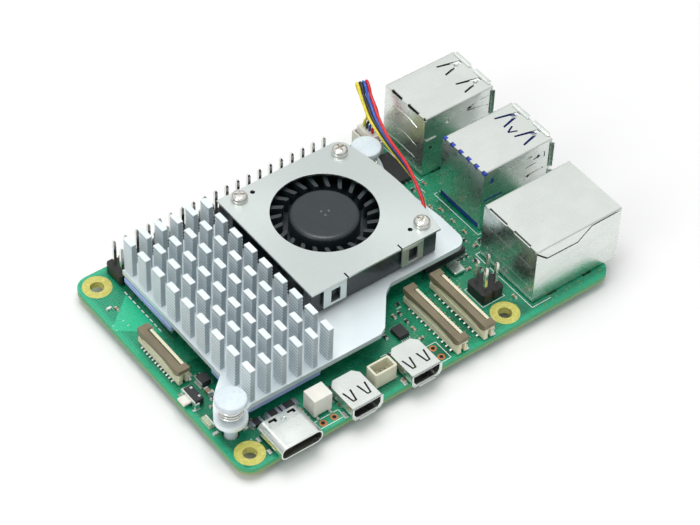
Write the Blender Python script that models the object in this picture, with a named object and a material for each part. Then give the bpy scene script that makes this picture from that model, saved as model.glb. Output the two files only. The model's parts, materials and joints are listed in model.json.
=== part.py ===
"""Single board computer with an active cooler, built as separate pieces.

Lengths in this file are millimetres in the board's own axes: the origin is the board's
corner beside the power socket, +X runs to the USB and network sockets, +Y runs to the
pin header, and z = 0 is the board's top face. `piece` turns them into metres, with the
world origin at the middle of the underside of the whole object.
"""
import math

import bmesh
import bpy
from mathutils import Vector

# ---------------------------------------------------------------- driving dimensions
MM = 0.001
GAP = 0.3                      # air between pieces that touch

BOARD_LENGTH = 85.0
BOARD_WIDTH = 56.0
BOARD_THICKNESS = 1.4
BOARD_CORNER = 3.0
PAD_THICKNESS = 0.05           # plated ring round each mounting hole
PAD_RADIUS = 3.0
MOUNT_HOLE_RADIUS = 1.35
MOUNT_INSET = 3.5
MOUNT_SPACING = (58.0, 49.0)

PIN_PITCH = 2.54
PIN_HALF = 0.32
PIN_HOLE_RADIUS = 0.62
PIN_TOP = 8.5
HEADER_FIRST_PIN = (8.37, 51.23)
HEADER_COLUMNS = 20
POE_CENTRE = (61.65, 9.7)

TAIL_BOTTOM = -2.9             # soldered ends of the header pins
REST_LEVEL = -3.1              # lowest level: card socket and shell tabs

PORT_FRONT = 87.6              # face of the USB and network sockets
LIP_FRONT = 87.9               # flared edges of the USB shells
USB_REAR = 70.9
USB_WIDTH = 12.4
USB_TOP = 15.2
USB3_CENTRE_Y = 29.1
USB2_CENTRE_Y = 47.0
ETHERNET_REAR = 67.1
ETHERNET_CENTRE_Y = 10.2
ETHERNET_WIDTH = 15.4
ETHERNET_TOP = 13.4

USB_C_CENTRE_X = 11.2
USB_C_FRONT = -1.6
HDMI_CENTRES_X = (25.8, 39.2)
PORT_WALL = 0.3
TAB_HALF = (0.8, 0.25)         # soldered tabs of the tall shells

PLUNGER_TIP = -0.4             # push button, past the board's left edge

SINK_BOTTOM = 3.9
SINK_TOP = 5.0
SINK_LEFT = 7.3
SINK_NEAR = 9.1
SINK_FAR = 49.45
SINK_RIGHT = 64.0
FIN_TOP = 13.0
FIN_SIZE = (1.2, 2.7)
FIN_FIRST = (8.4, 10.9)
FIN_PITCH = (3.42, 4.67)
FIN_GRID = (6, 9)

PUSH_PINS = ((3.35, 9.1), (61.0, 46.0))
EAR_RADIUS = 3.1
PIN_BORE = 1.6                 # bore in board and heatsink for a push pin
PUSH_PIN_SHAFT = 1.25

FAN_CENTRE = (42.8, 34.9)
FAN_LEFT = 28.2
FAN_NEAR = 19.1
FAN_FAR = 49.0
FAN_RIGHT = (57.8, 57.4)       # right side at its near and far ends
FAN_BULGE = 1.5                # right side's bow between those ends
FAN_CORNER = 2.6
COVER_TOP = 11.5
COVER_THICKNESS = 0.4
INLET_RADIUS = 10.25
FAN_SCREWS = ((31.9, 46.9), (54.7, 46.2), (55.7, 22.1))
COVER_TABS = ((31.1, 36.2), (49.1, 54.2))
HUB_RADIUS = 6.65
ROTOR_RADIUS = 12.2
BLADE_COUNT = 23

WIRE_RADIUS = 0.3

ORIGIN = Vector((
    (PLUNGER_TIP + LIP_FRONT) / 2,
    (USB_C_FRONT + BOARD_WIDTH) / 2,
    REST_LEVEL,
))

# colour (linear RGB), roughness, metallic
FINISHES = {
    "solder_mask": ((0.01, 0.16, 0.07), 0.35, 0.0),
    "black_nylon": ((0.012, 0.012, 0.013), 0.5, 0.0),
    "tinned_steel": ((0.62, 0.61, 0.56), 0.3, 1.0),
    "blue_nylon": ((0.02, 0.05, 0.35), 0.5, 0.0),
    "cream_nylon": ((0.62, 0.56, 0.36), 0.55, 0.0),
    "brown_nylon": ((0.2, 0.16, 0.1), 0.55, 0.0),
    "white_nylon": ((0.8, 0.8, 0.76), 0.5, 0.0),
    "chip_epoxy": ((0.02, 0.021, 0.024), 0.45, 0.0),
    "nickel": ((0.6, 0.6, 0.6), 0.3, 1.0),
    "thermal_pad": ((0.28, 0.38, 0.7), 0.8, 0.0),
    "anodised_aluminium": ((0.72, 0.77, 0.8), 0.45, 0.7),
    "brushed_plate": ((0.6, 0.61, 0.6), 0.38, 0.9),
    "fan_plastic": ((0.02, 0.022, 0.025), 0.4, 0.0),
    "brass": ((0.6, 0.45, 0.2), 0.35, 1.0),
    "translucent_nylon": ((0.72, 0.78, 0.82), 0.35, 0.0),
    "wire_yellow": ((0.75, 0.62, 0.03), 0.45, 0.0),
    "wire_black": ((0.015, 0.015, 0.016), 0.45, 0.0),
    "wire_blue": ((0.03, 0.12, 0.5), 0.45, 0.0),
    "wire_red": ((0.62, 0.02, 0.02), 0.45, 0.0),
    "led_lens": ((0.65, 0.72, 0.5), 0.25, 0.0),
}
MATERIALS = {}


# ---------------------------------------------------------------- shape helpers
def clear_scene():
    for obj in list(bpy.data.objects):
        bpy.data.objects.remove(obj)


def make_materials():
    for name, (colour, roughness, metallic) in FINISHES.items():
        material = bpy.data.materials.new(name)
        material.use_nodes = True
        shader = material.node_tree.nodes["Principled BSDF"]
        shader.inputs["Base Color"].default_value = (*colour, 1.0)
        shader.inputs["Roughness"].default_value = roughness
        shader.inputs["Metallic"].default_value = metallic
        material.diffuse_color = (*colour, 1.0)
        MATERIALS[name] = material


def add_prism(bm, outline, low, high, axis="Z"):
    """Extrude a closed outline of (u, v) points along an axis, as one solid."""
    def corner(u, v, w):
        return {"X": (w, u, v), "Y": (u, w, v), "Z": (u, v, w)}[axis]

    lower = [bm.verts.new(corner(u, v, low)) for u, v in outline]
    upper = [bm.verts.new(corner(u, v, high)) for u, v in outline]
    bm.faces.new(lower)
    bm.faces.new(upper)
    for i, vertex in enumerate(lower):
        j = (i + 1) % len(lower)
        bm.faces.new((vertex, lower[j], upper[j], upper[i]))


def add_box(bm, x, y, z):
    """A box from three (low, high) pairs."""
    outline = [(x[0], y[0]), (x[1], y[0]), (x[1], y[1]), (x[0], y[1])]
    add_prism(bm, outline, z[0], z[1])


def add_turned(bm, profile, centre, sides):
    """Turn a profile of (radius, z) points about a vertical axis.

    A profile that starts and ends at radius 0 makes a solid, any other is joined
    end to start and makes a ring.
    """
    rings = []
    for radius, z in profile:
        if radius == 0:
            rings.append([bm.verts.new((*centre, z))] * sides)
            continue
        turn = [2 * math.pi * i / sides for i in range(sides)]
        rings.append([
            bm.verts.new((centre[0] + radius * math.cos(a), centre[1] + radius * math.sin(a), z))
            for a in turn
        ])
    pairs = list(zip(rings, rings[1:]))
    if profile[0][0] > 0:
        pairs.append((rings[-1], rings[0]))
    for first, second in pairs:
        for i in range(sides):
            j = (i + 1) % sides
            corners = [first[i], first[j], second[j], second[i]]
            corners = [v for k, v in enumerate(corners) if v not in corners[:k]]
            if len(corners) > 2:
                bm.faces.new(corners)


def add_rod(bm, centre, radius, z, sides=16):
    add_turned(bm, [(0, z[0]), (radius, z[0]), (radius, z[1]), (0, z[1])], centre, sides)


def add_pin(bm, centre, low, high, half=PIN_HALF, point=0.5):
    """A square header pin with both ends tapered."""
    levels = ((low, half * 0.5), (low + point, half), (high - point, half), (high, half * 0.5))
    rings = [
        [bm.verts.new((centre[0] + sx * r, centre[1] + sy * r, z))
         for sx, sy in ((-1, -1), (1, -1), (1, 1), (-1, 1))]
        for z, r in levels
    ]
    bm.faces.new(rings[0])
    bm.faces.new(rings[-1])
    for lower, upper in zip(rings, rings[1:]):
        for i in range(4):
            j = (i + 1) % 4
            bm.faces.new((lower[i], lower[j], upper[j], upper[i]))


def rounded_rectangle(x, y, radius, steps=5):
    """Outline of a rectangle from two (low, high) pairs, its corners as arcs."""
    centres = (
        (x[1] - radius, y[1] - radius, 0), (x[0] + radius, y[1] - radius, 90),
        (x[0] + radius, y[0] + radius, 180), (x[1] - radius, y[0] + radius, 270),
    )
    points = []
    for cx, cy, start in centres:
        for i in range(steps + 1):
            a = math.radians(start + 90 * i / steps)
            points.append((cx + radius * math.cos(a), cy + radius * math.sin(a)))
    return points


def arc(centre, radius, start, end, steps):
    """Points on an arc, angles in degrees, both ends included."""
    angles = [math.radians(start + (end - start) * i / steps) for i in range(steps + 1)]
    return [(centre[0] + radius * math.cos(a), centre[1] + radius * math.sin(a)) for a in angles]


def to_object(name, bm, pivot):
    bmesh.ops.recalc_face_normals(bm, faces=bm.faces)
    for vertex in bm.verts:
        vertex.co = (vertex.co - Vector(pivot)) * MM
    mesh = bpy.data.meshes.new(name)
    bm.to_mesh(mesh)
    bm.free()
    obj = bpy.data.objects.new(name, mesh)
    obj.location = (Vector(pivot) - ORIGIN) * MM
    bpy.context.scene.collection.objects.link(obj)
    return obj


def piece(name, bm, finish, pivot=(0, 0, 0), smooth=False):
    """Make the named solid, its origin at pivot."""
    obj = to_object(name, bm, pivot)
    obj.data.materials.append(MATERIALS[finish])
    if smooth:
        obj.data.shade_smooth()
        obj.data.set_sharp_from_angle(angle=math.radians(35))
    return obj


def combine(target, bm, operation):
    """Add to, or cut from, a piece with the solids in bm."""
    guide = to_object(f"{target.name}_{operation.lower()}", bm, (0, 0, 0))
    guide.hide_render = True
    guide.display_type = "WIRE"
    modifier = target.modifiers.new(operation.title(), "BOOLEAN")
    modifier.object = guide
    modifier.operation = operation
    modifier.solver = "EXACT"


# ---------------------------------------------------------------- board and headers
def mount_holes():
    return [
        (MOUNT_INSET + MOUNT_SPACING[0] * i, MOUNT_INSET + MOUNT_SPACING[1] * j)
        for i in (0, 1) for j in (0, 1)
    ]


def header_pins():
    x, y = HEADER_FIRST_PIN
    return [(x + PIN_PITCH * i, y + PIN_PITCH * j) for i in range(HEADER_COLUMNS) for j in (0, 1)]


def poe_pins():
    x, y = POE_CENTRE
    half = PIN_PITCH / 2
    return [(x + sx * half, y + sy * half) for sx in (-1, 1) for sy in (-1, 1)]


def shell_tabs():
    """Soldered tabs of the tall shells: (x, y) of each tab's middle, by shell name."""
    tabs = {}
    shells = (
        ("ethernet_shell", ETHERNET_CENTRE_Y, ETHERNET_WIDTH, (72.0, 80.5)),
        ("usb3_shell", USB3_CENTRE_Y, USB_WIDTH, (74.5, 82.0)),
        ("usb2_shell", USB2_CENTRE_Y, USB_WIDTH, (74.5, 82.0)),
    )
    for name, centre_y, width, places in shells:
        reach = width / 2 - TAB_HALF[1]
        tabs[name] = [(x, centre_y + side * reach) for x in places for side in (-1, 1)]
    return tabs


def build_board():
    bm = bmesh.new()
    outline = rounded_rectangle((0, BOARD_LENGTH), (0, BOARD_WIDTH), BOARD_CORNER)
    add_prism(bm, outline, -BOARD_THICKNESS, 0)
    board = piece("pcb", bm, "solder_mask")

    pads = bmesh.new()
    for centre in mount_holes():
        add_rod(pads, centre, PAD_RADIUS, (-BOARD_THICKNESS - PAD_THICKNESS, PAD_THICKNESS), 24)
    combine(board, pads, "UNION")

    holes = bmesh.new()
    through = (-BOARD_THICKNESS - 1, 1)
    for centre in mount_holes():
        add_rod(holes, centre, MOUNT_HOLE_RADIUS, through, 20)
    for centre in PUSH_PINS:
        add_rod(holes, centre, PIN_BORE, through, 16)
    for centre in header_pins() + poe_pins():
        add_rod(holes, centre, PIN_HOLE_RADIUS, through, 6)
    for places in shell_tabs().values():
        for x, y in places:
            slot = (TAB_HALF[0] + GAP, TAB_HALF[1] + GAP)
            add_box(holes, (x - slot[0], x + slot[0]), (y - slot[1], y + slot[1]), through)
    combine(board, holes, "DIFFERENCE")


def build_header(name, centres, height=2.54):
    """A pin header: its insulator and the pins that it holds."""
    half = PIN_PITCH / 2
    xs = [x for x, _ in centres]
    ys = [y for _, y in centres]
    bm = bmesh.new()
    add_box(bm, (min(xs) - half, max(xs) + half), (min(ys) - half, max(ys) + half), (GAP, height))
    header = piece(name, bm, "black_nylon")
    pins = bmesh.new()
    for centre in centres:
        add_pin(pins, centre, TAIL_BOTTOM, PIN_TOP)
    combine(header, pins, "UNION")


# ---------------------------------------------------------------- tall sockets
def add_tabs(name, obj):
    tabs = bmesh.new()
    for x, y in shell_tabs()[name]:
        span_x = (x - TAB_HALF[0], x + TAB_HALF[0])
        add_box(tabs, span_x, (y - TAB_HALF[1], y + TAB_HALF[1]), (REST_LEVEL, GAP + 0.2))
    combine(obj, tabs, "UNION")


def build_ethernet():
    low, high = ETHERNET_CENTRE_Y - ETHERNET_WIDTH / 2, ETHERNET_CENTRE_Y + ETHERNET_WIDTH / 2
    wall = 0.35
    bm = bmesh.new()
    add_box(bm, (ETHERNET_REAR, PORT_FRONT), (low, high), (GAP, ETHERNET_TOP))
    shell = piece("ethernet_shell", bm, "tinned_steel")
    add_tabs("ethernet_shell", shell)
    hollow = bmesh.new()
    add_box(hollow, (ETHERNET_REAR + wall, PORT_FRONT + 1), (low + wall, high - wall),
            (GAP + wall, ETHERNET_TOP - wall))
    combine(shell, hollow, "DIFFERENCE")

    inset = wall + GAP
    bm = bmesh.new()
    add_box(bm, (ETHERNET_REAR + inset, PORT_FRONT - 0.3), (low + inset, high - inset),
            (GAP + inset, ETHERNET_TOP - inset))
    insert = piece("ethernet_insert", bm, "black_nylon")
    # plug cavity with its latch notch below
    mid = ETHERNET_CENTRE_Y
    floor, ceiling = 3.6, 11.4
    outline = [
        (mid - 3.1, 1.6), (mid + 3.1, 1.6), (mid + 3.1, floor), (mid + 5.95, floor),
        (mid + 5.95, ceiling), (mid - 5.95, ceiling), (mid - 5.95, floor), (mid - 3.1, floor),
    ]
    cavity = bmesh.new()
    add_prism(cavity, outline, PORT_FRONT - 13.0, PORT_FRONT + 1, "X")
    combine(insert, cavity, "DIFFERENCE")


def build_usb_stack(name, centre_y, insulator_finish):
    low, high = centre_y - USB_WIDTH / 2, centre_y + USB_WIDTH / 2
    wall = 0.3
    bm = bmesh.new()
    add_box(bm, (USB_REAR, PORT_FRONT), (low, high), (GAP, USB_TOP))
    shell = piece(f"{name}_shell", bm, "tinned_steel")
    add_tabs(f"{name}_shell", shell)

    # flared lips on the top and both sides of the front edge
    lips = bmesh.new()
    start, thick = PORT_FRONT - 0.7, 0.3
    flare = [(start, 0.0), (LIP_FRONT, 0.55), (LIP_FRONT, 0.55 - thick), (start, -thick)]
    for middle in (-3.0, 3.0):
        add_prism(lips, [(x, USB_TOP + rise) for x, rise in flare],
                  centre_y + middle - 2.3, centre_y + middle + 2.3, "Y")
    for face, side in ((low, -1), (high, 1)):
        for floor in (2.2, 9.4):
            add_prism(lips, [(x, face + side * rise) for x, rise in flare], floor, floor + 4.6, "Z")
    combine(shell, lips, "UNION")

    # two ports in front of one chamber
    divider = (7.4, 8.2)
    chamber_end = 76.5
    front = LIP_FRONT + 1
    bottom, top = GAP + wall, USB_TOP - wall
    outline = [
        (USB_REAR + wall, bottom), (front, bottom), (front, divider[0]), (chamber_end, divider[0]),
        (chamber_end, divider[1]), (front, divider[1]), (front, top), (USB_REAR + wall, top),
    ]
    hollow = bmesh.new()
    add_prism(hollow, outline, low + wall, high - wall, "Y")
    combine(shell, hollow, "DIFFERENCE")

    # insulator: a back block with one tongue for each port
    back = (USB_REAR + wall + GAP, chamber_end - GAP)
    tongue_end = PORT_FRONT - 1.4
    tongues = ((4.3, 6.1), (11.5, 13.3))
    outline = [(back[0], bottom + GAP), (back[1], bottom + GAP)]
    for under, over in tongues:
        outline += [(back[1], under), (tongue_end, under), (tongue_end, over), (back[1], over)]
    outline += [(back[1], top - GAP), (back[0], top - GAP)]
    bm = bmesh.new()
    add_prism(bm, outline, low + wall + GAP, high - wall - GAP, "Y")
    piece(f"{name}_insulator", bm, insulator_finish)


# ---------------------------------------------------------------- low sockets
def build_front_socket(name, section, front, rear, tongue_x, tongue_z):
    """A metal shell open to the front edge and the insulator with its tongue.

    section(inset) gives the socket's cross-section, drawn in by inset all round.
    """
    bm = bmesh.new()
    add_prism(bm, section(0), front, rear, "Y")
    shell = piece(f"{name}_shell", bm, "tinned_steel", smooth=True)
    hollow = bmesh.new()
    add_prism(hollow, section(PORT_WALL), front - 1, rear - 0.4, "Y")
    combine(shell, hollow, "DIFFERENCE")

    bm = bmesh.new()
    add_prism(bm, section(PORT_WALL + GAP), rear - 2.6, rear - 0.4 - GAP, "Y")
    insulator = piece(f"{name}_insulator", bm, "black_nylon")
    tongue = bmesh.new()
    add_box(tongue, tongue_x, (front + 0.9, rear - 2.3), tongue_z)
    combine(insulator, tongue, "UNION")


def usb_c_section(inset):
    half, bottom, top, radius = 4.5 - inset, GAP + inset, 3.3 - inset, 1.35 - inset
    return rounded_rectangle((USB_C_CENTRE_X - half, USB_C_CENTRE_X + half), (bottom, top), radius)


def build_usb_c():
    tongue_x = (USB_C_CENTRE_X - 3.3, USB_C_CENTRE_X + 3.3)
    build_front_socket("usb_c", usb_c_section, USB_C_FRONT, 5.8, tongue_x, (1.45, 2.15))


def hdmi_outline(centre, inset):
    half, bottom, top, slope = 3.2 - inset, GAP + inset, 3.2 - inset, 0.9
    return [
        (centre - half, top), (centre - half, bottom + slope), (centre - half + 0.6, bottom),
        (centre + half - 0.6, bottom), (centre + half, bottom + slope), (centre + half, top),
    ]


def build_hdmi_ports():
    for index, centre in enumerate(HDMI_CENTRES_X):
        def section(inset, centre=centre):
            return hdmi_outline(centre, inset)

        build_front_socket(f"hdmi{index}", section, -1.4, 6.5, (centre - 1.9, centre + 1.9), (1.5, 2.1))


# ---------------------------------------------------------------- flat cable connectors
def build_flat_connector(name, left, near, far, width=2.5):
    """Housing with a cable wall, and the latch that slides up from it."""
    right = left + width
    split = left + width * 0.56
    top, shelf = 4.0, 1.7
    end = 1.5
    bm = bmesh.new()
    add_box(bm, (left, right), (near, far), (GAP, shelf))
    housing = piece(f"{name}_housing", bm, "cream_nylon")
    wall = bmesh.new()
    add_box(wall, (split + GAP, right - 0.1), (near + end + GAP, far - end - GAP), (1.0, top - 0.2))
    combine(housing, wall, "UNION")

    outline = [
        (left, near), (right, near), (right, near + end), (split, near + end),
        (split, far - end), (right, far - end), (right, far), (left, far),
    ]
    bm = bmesh.new()
    add_prism(bm, outline, shelf + GAP, top)
    piece(f"{name}_latch", bm, "brown_nylon", pivot=(left, near, shelf + GAP))


# ---------------------------------------------------------------- small connectors and chips
def build_wire_header(name, x, y, top, wall, floor):
    """A small wire-to-board header: a box with a pocket open upwards."""
    bm = bmesh.new()
    add_box(bm, x, y, (GAP, top))
    body = piece(name, bm, "white_nylon")
    pocket = bmesh.new()
    add_box(pocket, (x[0] + wall, x[1] - wall), (y[0] + wall, y[1] - wall), (floor, top + 1))
    combine(body, pocket, "DIFFERENCE")


FAN_PLUG_X = (65.9, 67.9)
FAN_PLUG_Y = (50.5, 55.3)
FAN_PLUG_TOP = 5.4


def build_small_connectors():
    bm = bmesh.new()
    add_box(bm, (17.3, 21.3), (3.2, 6.6), (GAP, 4.6))
    piece("rtc_battery_connector", bm, "white_nylon")
    build_wire_header("uart_connector", (30.25, 35.25), (2.25, 5.25), 3.9, 0.4, 1.2)
    wall = 0.35
    build_wire_header("fan_connector",
                      (FAN_PLUG_X[0] - wall - GAP, FAN_PLUG_X[1] + wall + GAP),
                      (FAN_PLUG_Y[0] - wall - GAP, FAN_PLUG_Y[1] + wall + GAP), 4.0, wall, 0.9)
    bm = bmesh.new()
    add_box(bm, FAN_PLUG_X, FAN_PLUG_Y, (0.9 + GAP, FAN_PLUG_TOP))
    piece("fan_plug", bm, "white_nylon")


def build_chips():
    chips = (
        ("soc_substrate", (22.0, 39.0), (23.4, 40.4), (GAP, 1.1), "solder_mask"),
        ("soc_lid", (23.2, 37.8), (24.6, 39.2), (1.4, 2.6), "nickel"),
        ("ram_chip", (42.0, 54.0), (26.5, 40.5), (GAP, 1.3), "chip_epoxy"),
        ("io_controller_chip", (55.4, 65.2), (19.8, 31.4), (GAP, 1.3), "chip_epoxy"),
        ("power_management_chip", (9.2, 15.2), (12.0, 18.0), (GAP, 1.3), "chip_epoxy"),
        ("ethernet_phy_chip", (63.6, 69.2), (41.2, 49.3), (GAP, 1.3), "chip_epoxy"),
        ("wireless_shield_can", (8.0, 18.0), (34.4, 46.4), (GAP, 2.1), "tinned_steel"),
        ("crystal", (59.5, 62.0), (15.9, 19.1), (GAP, 0.95), "tinned_steel"),
        ("power_inductor", (5.3, 7.2), (20.6, 22.8), (GAP, 1.6), "chip_epoxy"),
        ("soc_thermal_pad", (23.0, 38.0), (24.4, 39.4), (2.9, SINK_BOTTOM - GAP), "thermal_pad"),
        ("wireless_thermal_pad", (7.1, 18.4), (33.4, 48.9), (2.4, SINK_BOTTOM - GAP), "thermal_pad"),
        ("power_thermal_pad", (7.5, 23.4), (9.4, 21.4), (2.4, SINK_BOTTOM - GAP), "thermal_pad"),
    )
    for name, x, y, z, finish in chips:
        bm = bmesh.new()
        add_prism(bm, rounded_rectangle(x, y, 0.3, 2), z[0], z[1])
        piece(name, bm, finish)


def build_power_button():
    bm = bmesh.new()
    add_box(bm, (1.2, 3.3), (17.4, 21.4), (GAP, 2.0))
    body = piece("power_button_body", bm, "tinned_steel")
    pocket = bmesh.new()
    add_box(pocket, (0.5, 2.6), (17.9, 20.9), (GAP + 0.3, 1.7))
    combine(body, pocket, "DIFFERENCE")
    bm = bmesh.new()
    add_box(bm, (PLUNGER_TIP, 1.9), (18.3, 20.5), (GAP + 0.6, 1.4))
    piece("power_button_plunger", bm, "white_nylon", pivot=(PLUNGER_TIP, 19.4, 1.15))

    bm = bmesh.new()
    add_prism(bm, rounded_rectangle((0.7, 1.9), (12.0, 14.7), 0.2, 2), GAP, 0.95)
    piece("status_led", bm, "led_lens")


def build_card_socket():
    """Memory card socket under the board, its mouth just inside the left edge."""
    x, y = (1.3, 15.3), (21.9, 34.1)
    wall, top = 0.25, -BOARD_THICKNESS - GAP
    bm = bmesh.new()
    add_box(bm, x, y, (REST_LEVEL, top))
    shell = piece("microsd_shell", bm, "tinned_steel")
    hollow = bmesh.new()
    add_box(hollow, (x[0] - 1, x[1] - wall), (y[0] + wall, y[1] - wall), (REST_LEVEL + wall, top + 1))
    combine(shell, hollow, "DIFFERENCE")
    bm = bmesh.new()
    add_box(bm, (x[0], x[1] - wall - GAP), (y[0] + wall + GAP, y[1] - wall - GAP), (top - 0.35, top))
    piece("microsd_base", bm, "black_nylon")


# ---------------------------------------------------------------- cooler
def build_heatsink():
    corner = 2.5
    outline = [(SINK_LEFT, SINK_NEAR), (36.6, SINK_NEAR), (38.2, 10.0), (43.7, 16.8), (45.8, 18.2)]
    outline += arc((SINK_RIGHT - corner, 18.2 + corner), corner, -90, 0, 5)
    outline += [(SINK_RIGHT, 26.5), (63.5, 31.5), (62.4, 41.5), (60.0, 46.0)]
    outline += [(56.5, SINK_FAR), (SINK_LEFT, SINK_FAR)]
    bm = bmesh.new()
    add_prism(bm, outline, SINK_BOTTOM, SINK_TOP)
    sink = piece("heatsink", bm, "anodised_aluminium")

    # necks that join the two screw ears to the plate, and the ears themselves
    necks = (
        [(7.6, 18.2), (5.0, 16.0), (3.4, 14.5), (2.0, 12.7), (0.5, 10.3), (3.35, 9.1), (6.4, 8.6),
         (8.0, SINK_NEAR + 0.1), (9.0, 12.0)],
        [(55.0, SINK_FAR), (60.9, 49.1), (61.0, 46.0), (63.9, 44.9), (62.3, 40.5), (57.0, 42.0)],
    )
    for neck, ear in zip(necks, PUSH_PINS):
        shape = bmesh.new()
        add_prism(shape, neck, SINK_BOTTOM, SINK_TOP)
        combine(sink, shape, "UNION")
        shape = bmesh.new()
        add_rod(shape, ear, EAR_RADIUS, (SINK_BOTTOM, SINK_TOP), 28)
        combine(sink, shape, "UNION")

    fins = bmesh.new()
    half_x, half_y = FIN_SIZE[0] / 2, FIN_SIZE[1] / 2
    for i in range(FIN_GRID[0]):
        for j in range(FIN_GRID[1]):
            x = FIN_FIRST[0] + FIN_PITCH[0] * i
            y = FIN_FIRST[1] + FIN_PITCH[1] * j
            add_box(fins, (x - half_x, x + half_x), (y - half_y, y + half_y), (SINK_TOP - 0.5, FIN_TOP))
    combine(sink, fins, "UNION")

    bores = bmesh.new()
    for ear in PUSH_PINS:
        add_rod(bores, ear, PIN_BORE, (SINK_BOTTOM - 1, SINK_TOP + 1), 16)
    combine(sink, bores, "DIFFERENCE")


def fan_outline(inset, near_inset):
    """Plan of the blower: square on the left, bowed on the right, one round corner."""
    near, far = FAN_NEAR + near_inset, FAN_FAR - inset
    top = far - FAN_CORNER
    points = [(FAN_LEFT + inset, near)]
    steps = 8
    for i in range(steps + 1):
        t = i / steps
        x = FAN_RIGHT[0] + (FAN_RIGHT[1] - FAN_RIGHT[0]) * t + FAN_BULGE * 4 * t * (1 - t)
        points.append((x - inset, near + (top - near) * t))
    points += arc((FAN_RIGHT[1] - inset - FAN_CORNER, top), FAN_CORNER, 0, 90, 5)[1:]
    points.append((FAN_LEFT + inset, far))
    return points


FRAME_BOTTOM = SINK_TOP + GAP
FRAME_TOP = COVER_TOP - COVER_THICKNESS - GAP
FRAME_FLOOR = FRAME_BOTTOM + 0.9
WIRE_NOTCH_Y = (25.4, 27.8)


def build_fan_frame():
    bm = bmesh.new()
    add_prism(bm, fan_outline(0.3, 0.7), FRAME_BOTTOM, FRAME_TOP)
    frame = piece("fan_frame", bm, "fan_plastic")
    # rotor chamber, open to the fins on the left
    chamber = arc(FAN_CENTRE, ROTOR_RADIUS + 0.7, -90, 115, 20)
    chamber += [(34.6, 44.2), (FAN_LEFT - 1, 44.2), (FAN_LEFT - 1, FAN_CENTRE[1] - ROTOR_RADIUS - 0.7)]
    cutter = bmesh.new()
    add_prism(cutter, chamber, FRAME_FLOOR, FRAME_TOP + 1)
    combine(frame, cutter, "DIFFERENCE")
    openings = bmesh.new()
    for centre in FAN_SCREWS:
        add_rod(openings, centre, 1.1, (FRAME_BOTTOM + 1.2, FRAME_TOP + 1), 12)
    add_box(openings, (58.0, 61.0), WIRE_NOTCH_Y, (6.9, FRAME_TOP + 1))
    combine(frame, openings, "DIFFERENCE")


def build_fan_cover():
    bm = bmesh.new()
    add_prism(bm, fan_outline(0, 0), COVER_TOP - COVER_THICKNESS, COVER_TOP)
    cover = piece("fan_cover", bm, "brushed_plate")
    tabs = bmesh.new()
    tab_bottom = 6.3
    for x in COVER_TABS:
        add_box(tabs, x, (FAN_NEAR, FAN_NEAR + COVER_THICKNESS), (tab_bottom, COVER_TOP - 0.1))
    combine(cover, tabs, "UNION")
    openings = bmesh.new()
    through = (COVER_TOP - 1, COVER_TOP + 1)
    add_rod(openings, FAN_CENTRE, INLET_RADIUS, through, 40)
    for centre in FAN_SCREWS:
        add_rod(openings, centre, 1.1, through, 12)
    for centre in ((34.8, 46.8), (53.0, 22.2)):
        add_rod(openings, centre, 0.45, through, 8)
    for x in COVER_TABS:
        middle = (x[0] + x[1]) / 2
        add_box(openings, (middle - 0.9, middle + 0.9), (FAN_NEAR - 1, FAN_NEAR + 1), (7.6, 9.6))
    combine(cover, openings, "DIFFERENCE")


def blade_outline(angle):
    """Plan of one forward-swept blade, from beside the hub to the rotor's edge."""
    inner, outer, steps, thick, sweep = HUB_RADIUS + 1.0, ROTOR_RADIUS - 0.05, 4, 0.7, -10.0
    front, back = [], []
    for i in range(steps + 1):
        t = i / steps
        radius = inner + (outer - inner) * t
        a = math.radians(angle + sweep * (1 - t) ** 2)
        half = math.asin(thick / 2 / radius)
        front.append((FAN_CENTRE[0] + radius * math.cos(a - half), FAN_CENTRE[1] + radius * math.sin(a - half)))
        back.append((FAN_CENTRE[0] + radius * math.cos(a + half), FAN_CENTRE[1] + radius * math.sin(a + half)))
    return front + back[::-1]


def build_fan_motor():
    pivot = (*FAN_CENTRE, 0)
    floor, hub_top, web = FRAME_FLOOR + GAP + 0.4, 11.2, 0.4
    profile = [
        (0, hub_top), (5.9, hub_top), (6.4, hub_top - 0.2), (HUB_RADIUS, hub_top - 0.65),
        (HUB_RADIUS, floor + web), (ROTOR_RADIUS, floor + web), (ROTOR_RADIUS, floor),
        (5.7, floor), (5.7, 10.2), (0, 10.2),
    ]
    bm = bmesh.new()
    add_turned(bm, profile, FAN_CENTRE, 36)
    rotor = piece("fan_rotor", bm, "fan_plastic", pivot=pivot, smooth=True)
    blades = bmesh.new()
    for i in range(BLADE_COUNT):
        add_prism(blades, blade_outline(360.0 * i / BLADE_COUNT), floor + web / 2, 10.4)
    combine(rotor, blades, "UNION")

    base = FRAME_FLOOR + GAP
    bm = bmesh.new()
    add_rod(bm, FAN_CENTRE, 0.5, (base, 10.2 - GAP), 12)
    piece("fan_shaft", bm, "nickel", pivot=pivot, smooth=True)
    bm = bmesh.new()
    add_turned(bm, [(0.55, base), (1.5, base), (1.5, 9.3), (0.55, 9.3)], FAN_CENTRE, 16)
    piece("fan_bearing", bm, "brass", smooth=True)
    # four-pole stator round the bearing
    poles = []
    for quarter in range(4):
        poles += arc(FAN_CENTRE, 2.4, 90 * quarter - 45, 90 * quarter - 27, 1)
        poles += arc(FAN_CENTRE, 5.2, 90 * quarter - 27, 90 * quarter + 27, 5)
    bm = bmesh.new()
    add_prism(bm, poles, base, 9.6)
    stator = piece("fan_stator", bm, "brass")
    bore = bmesh.new()
    add_rod(bore, FAN_CENTRE, 1.8, (base - 1, 11), 16)
    combine(stator, bore, "DIFFERENCE")


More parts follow.
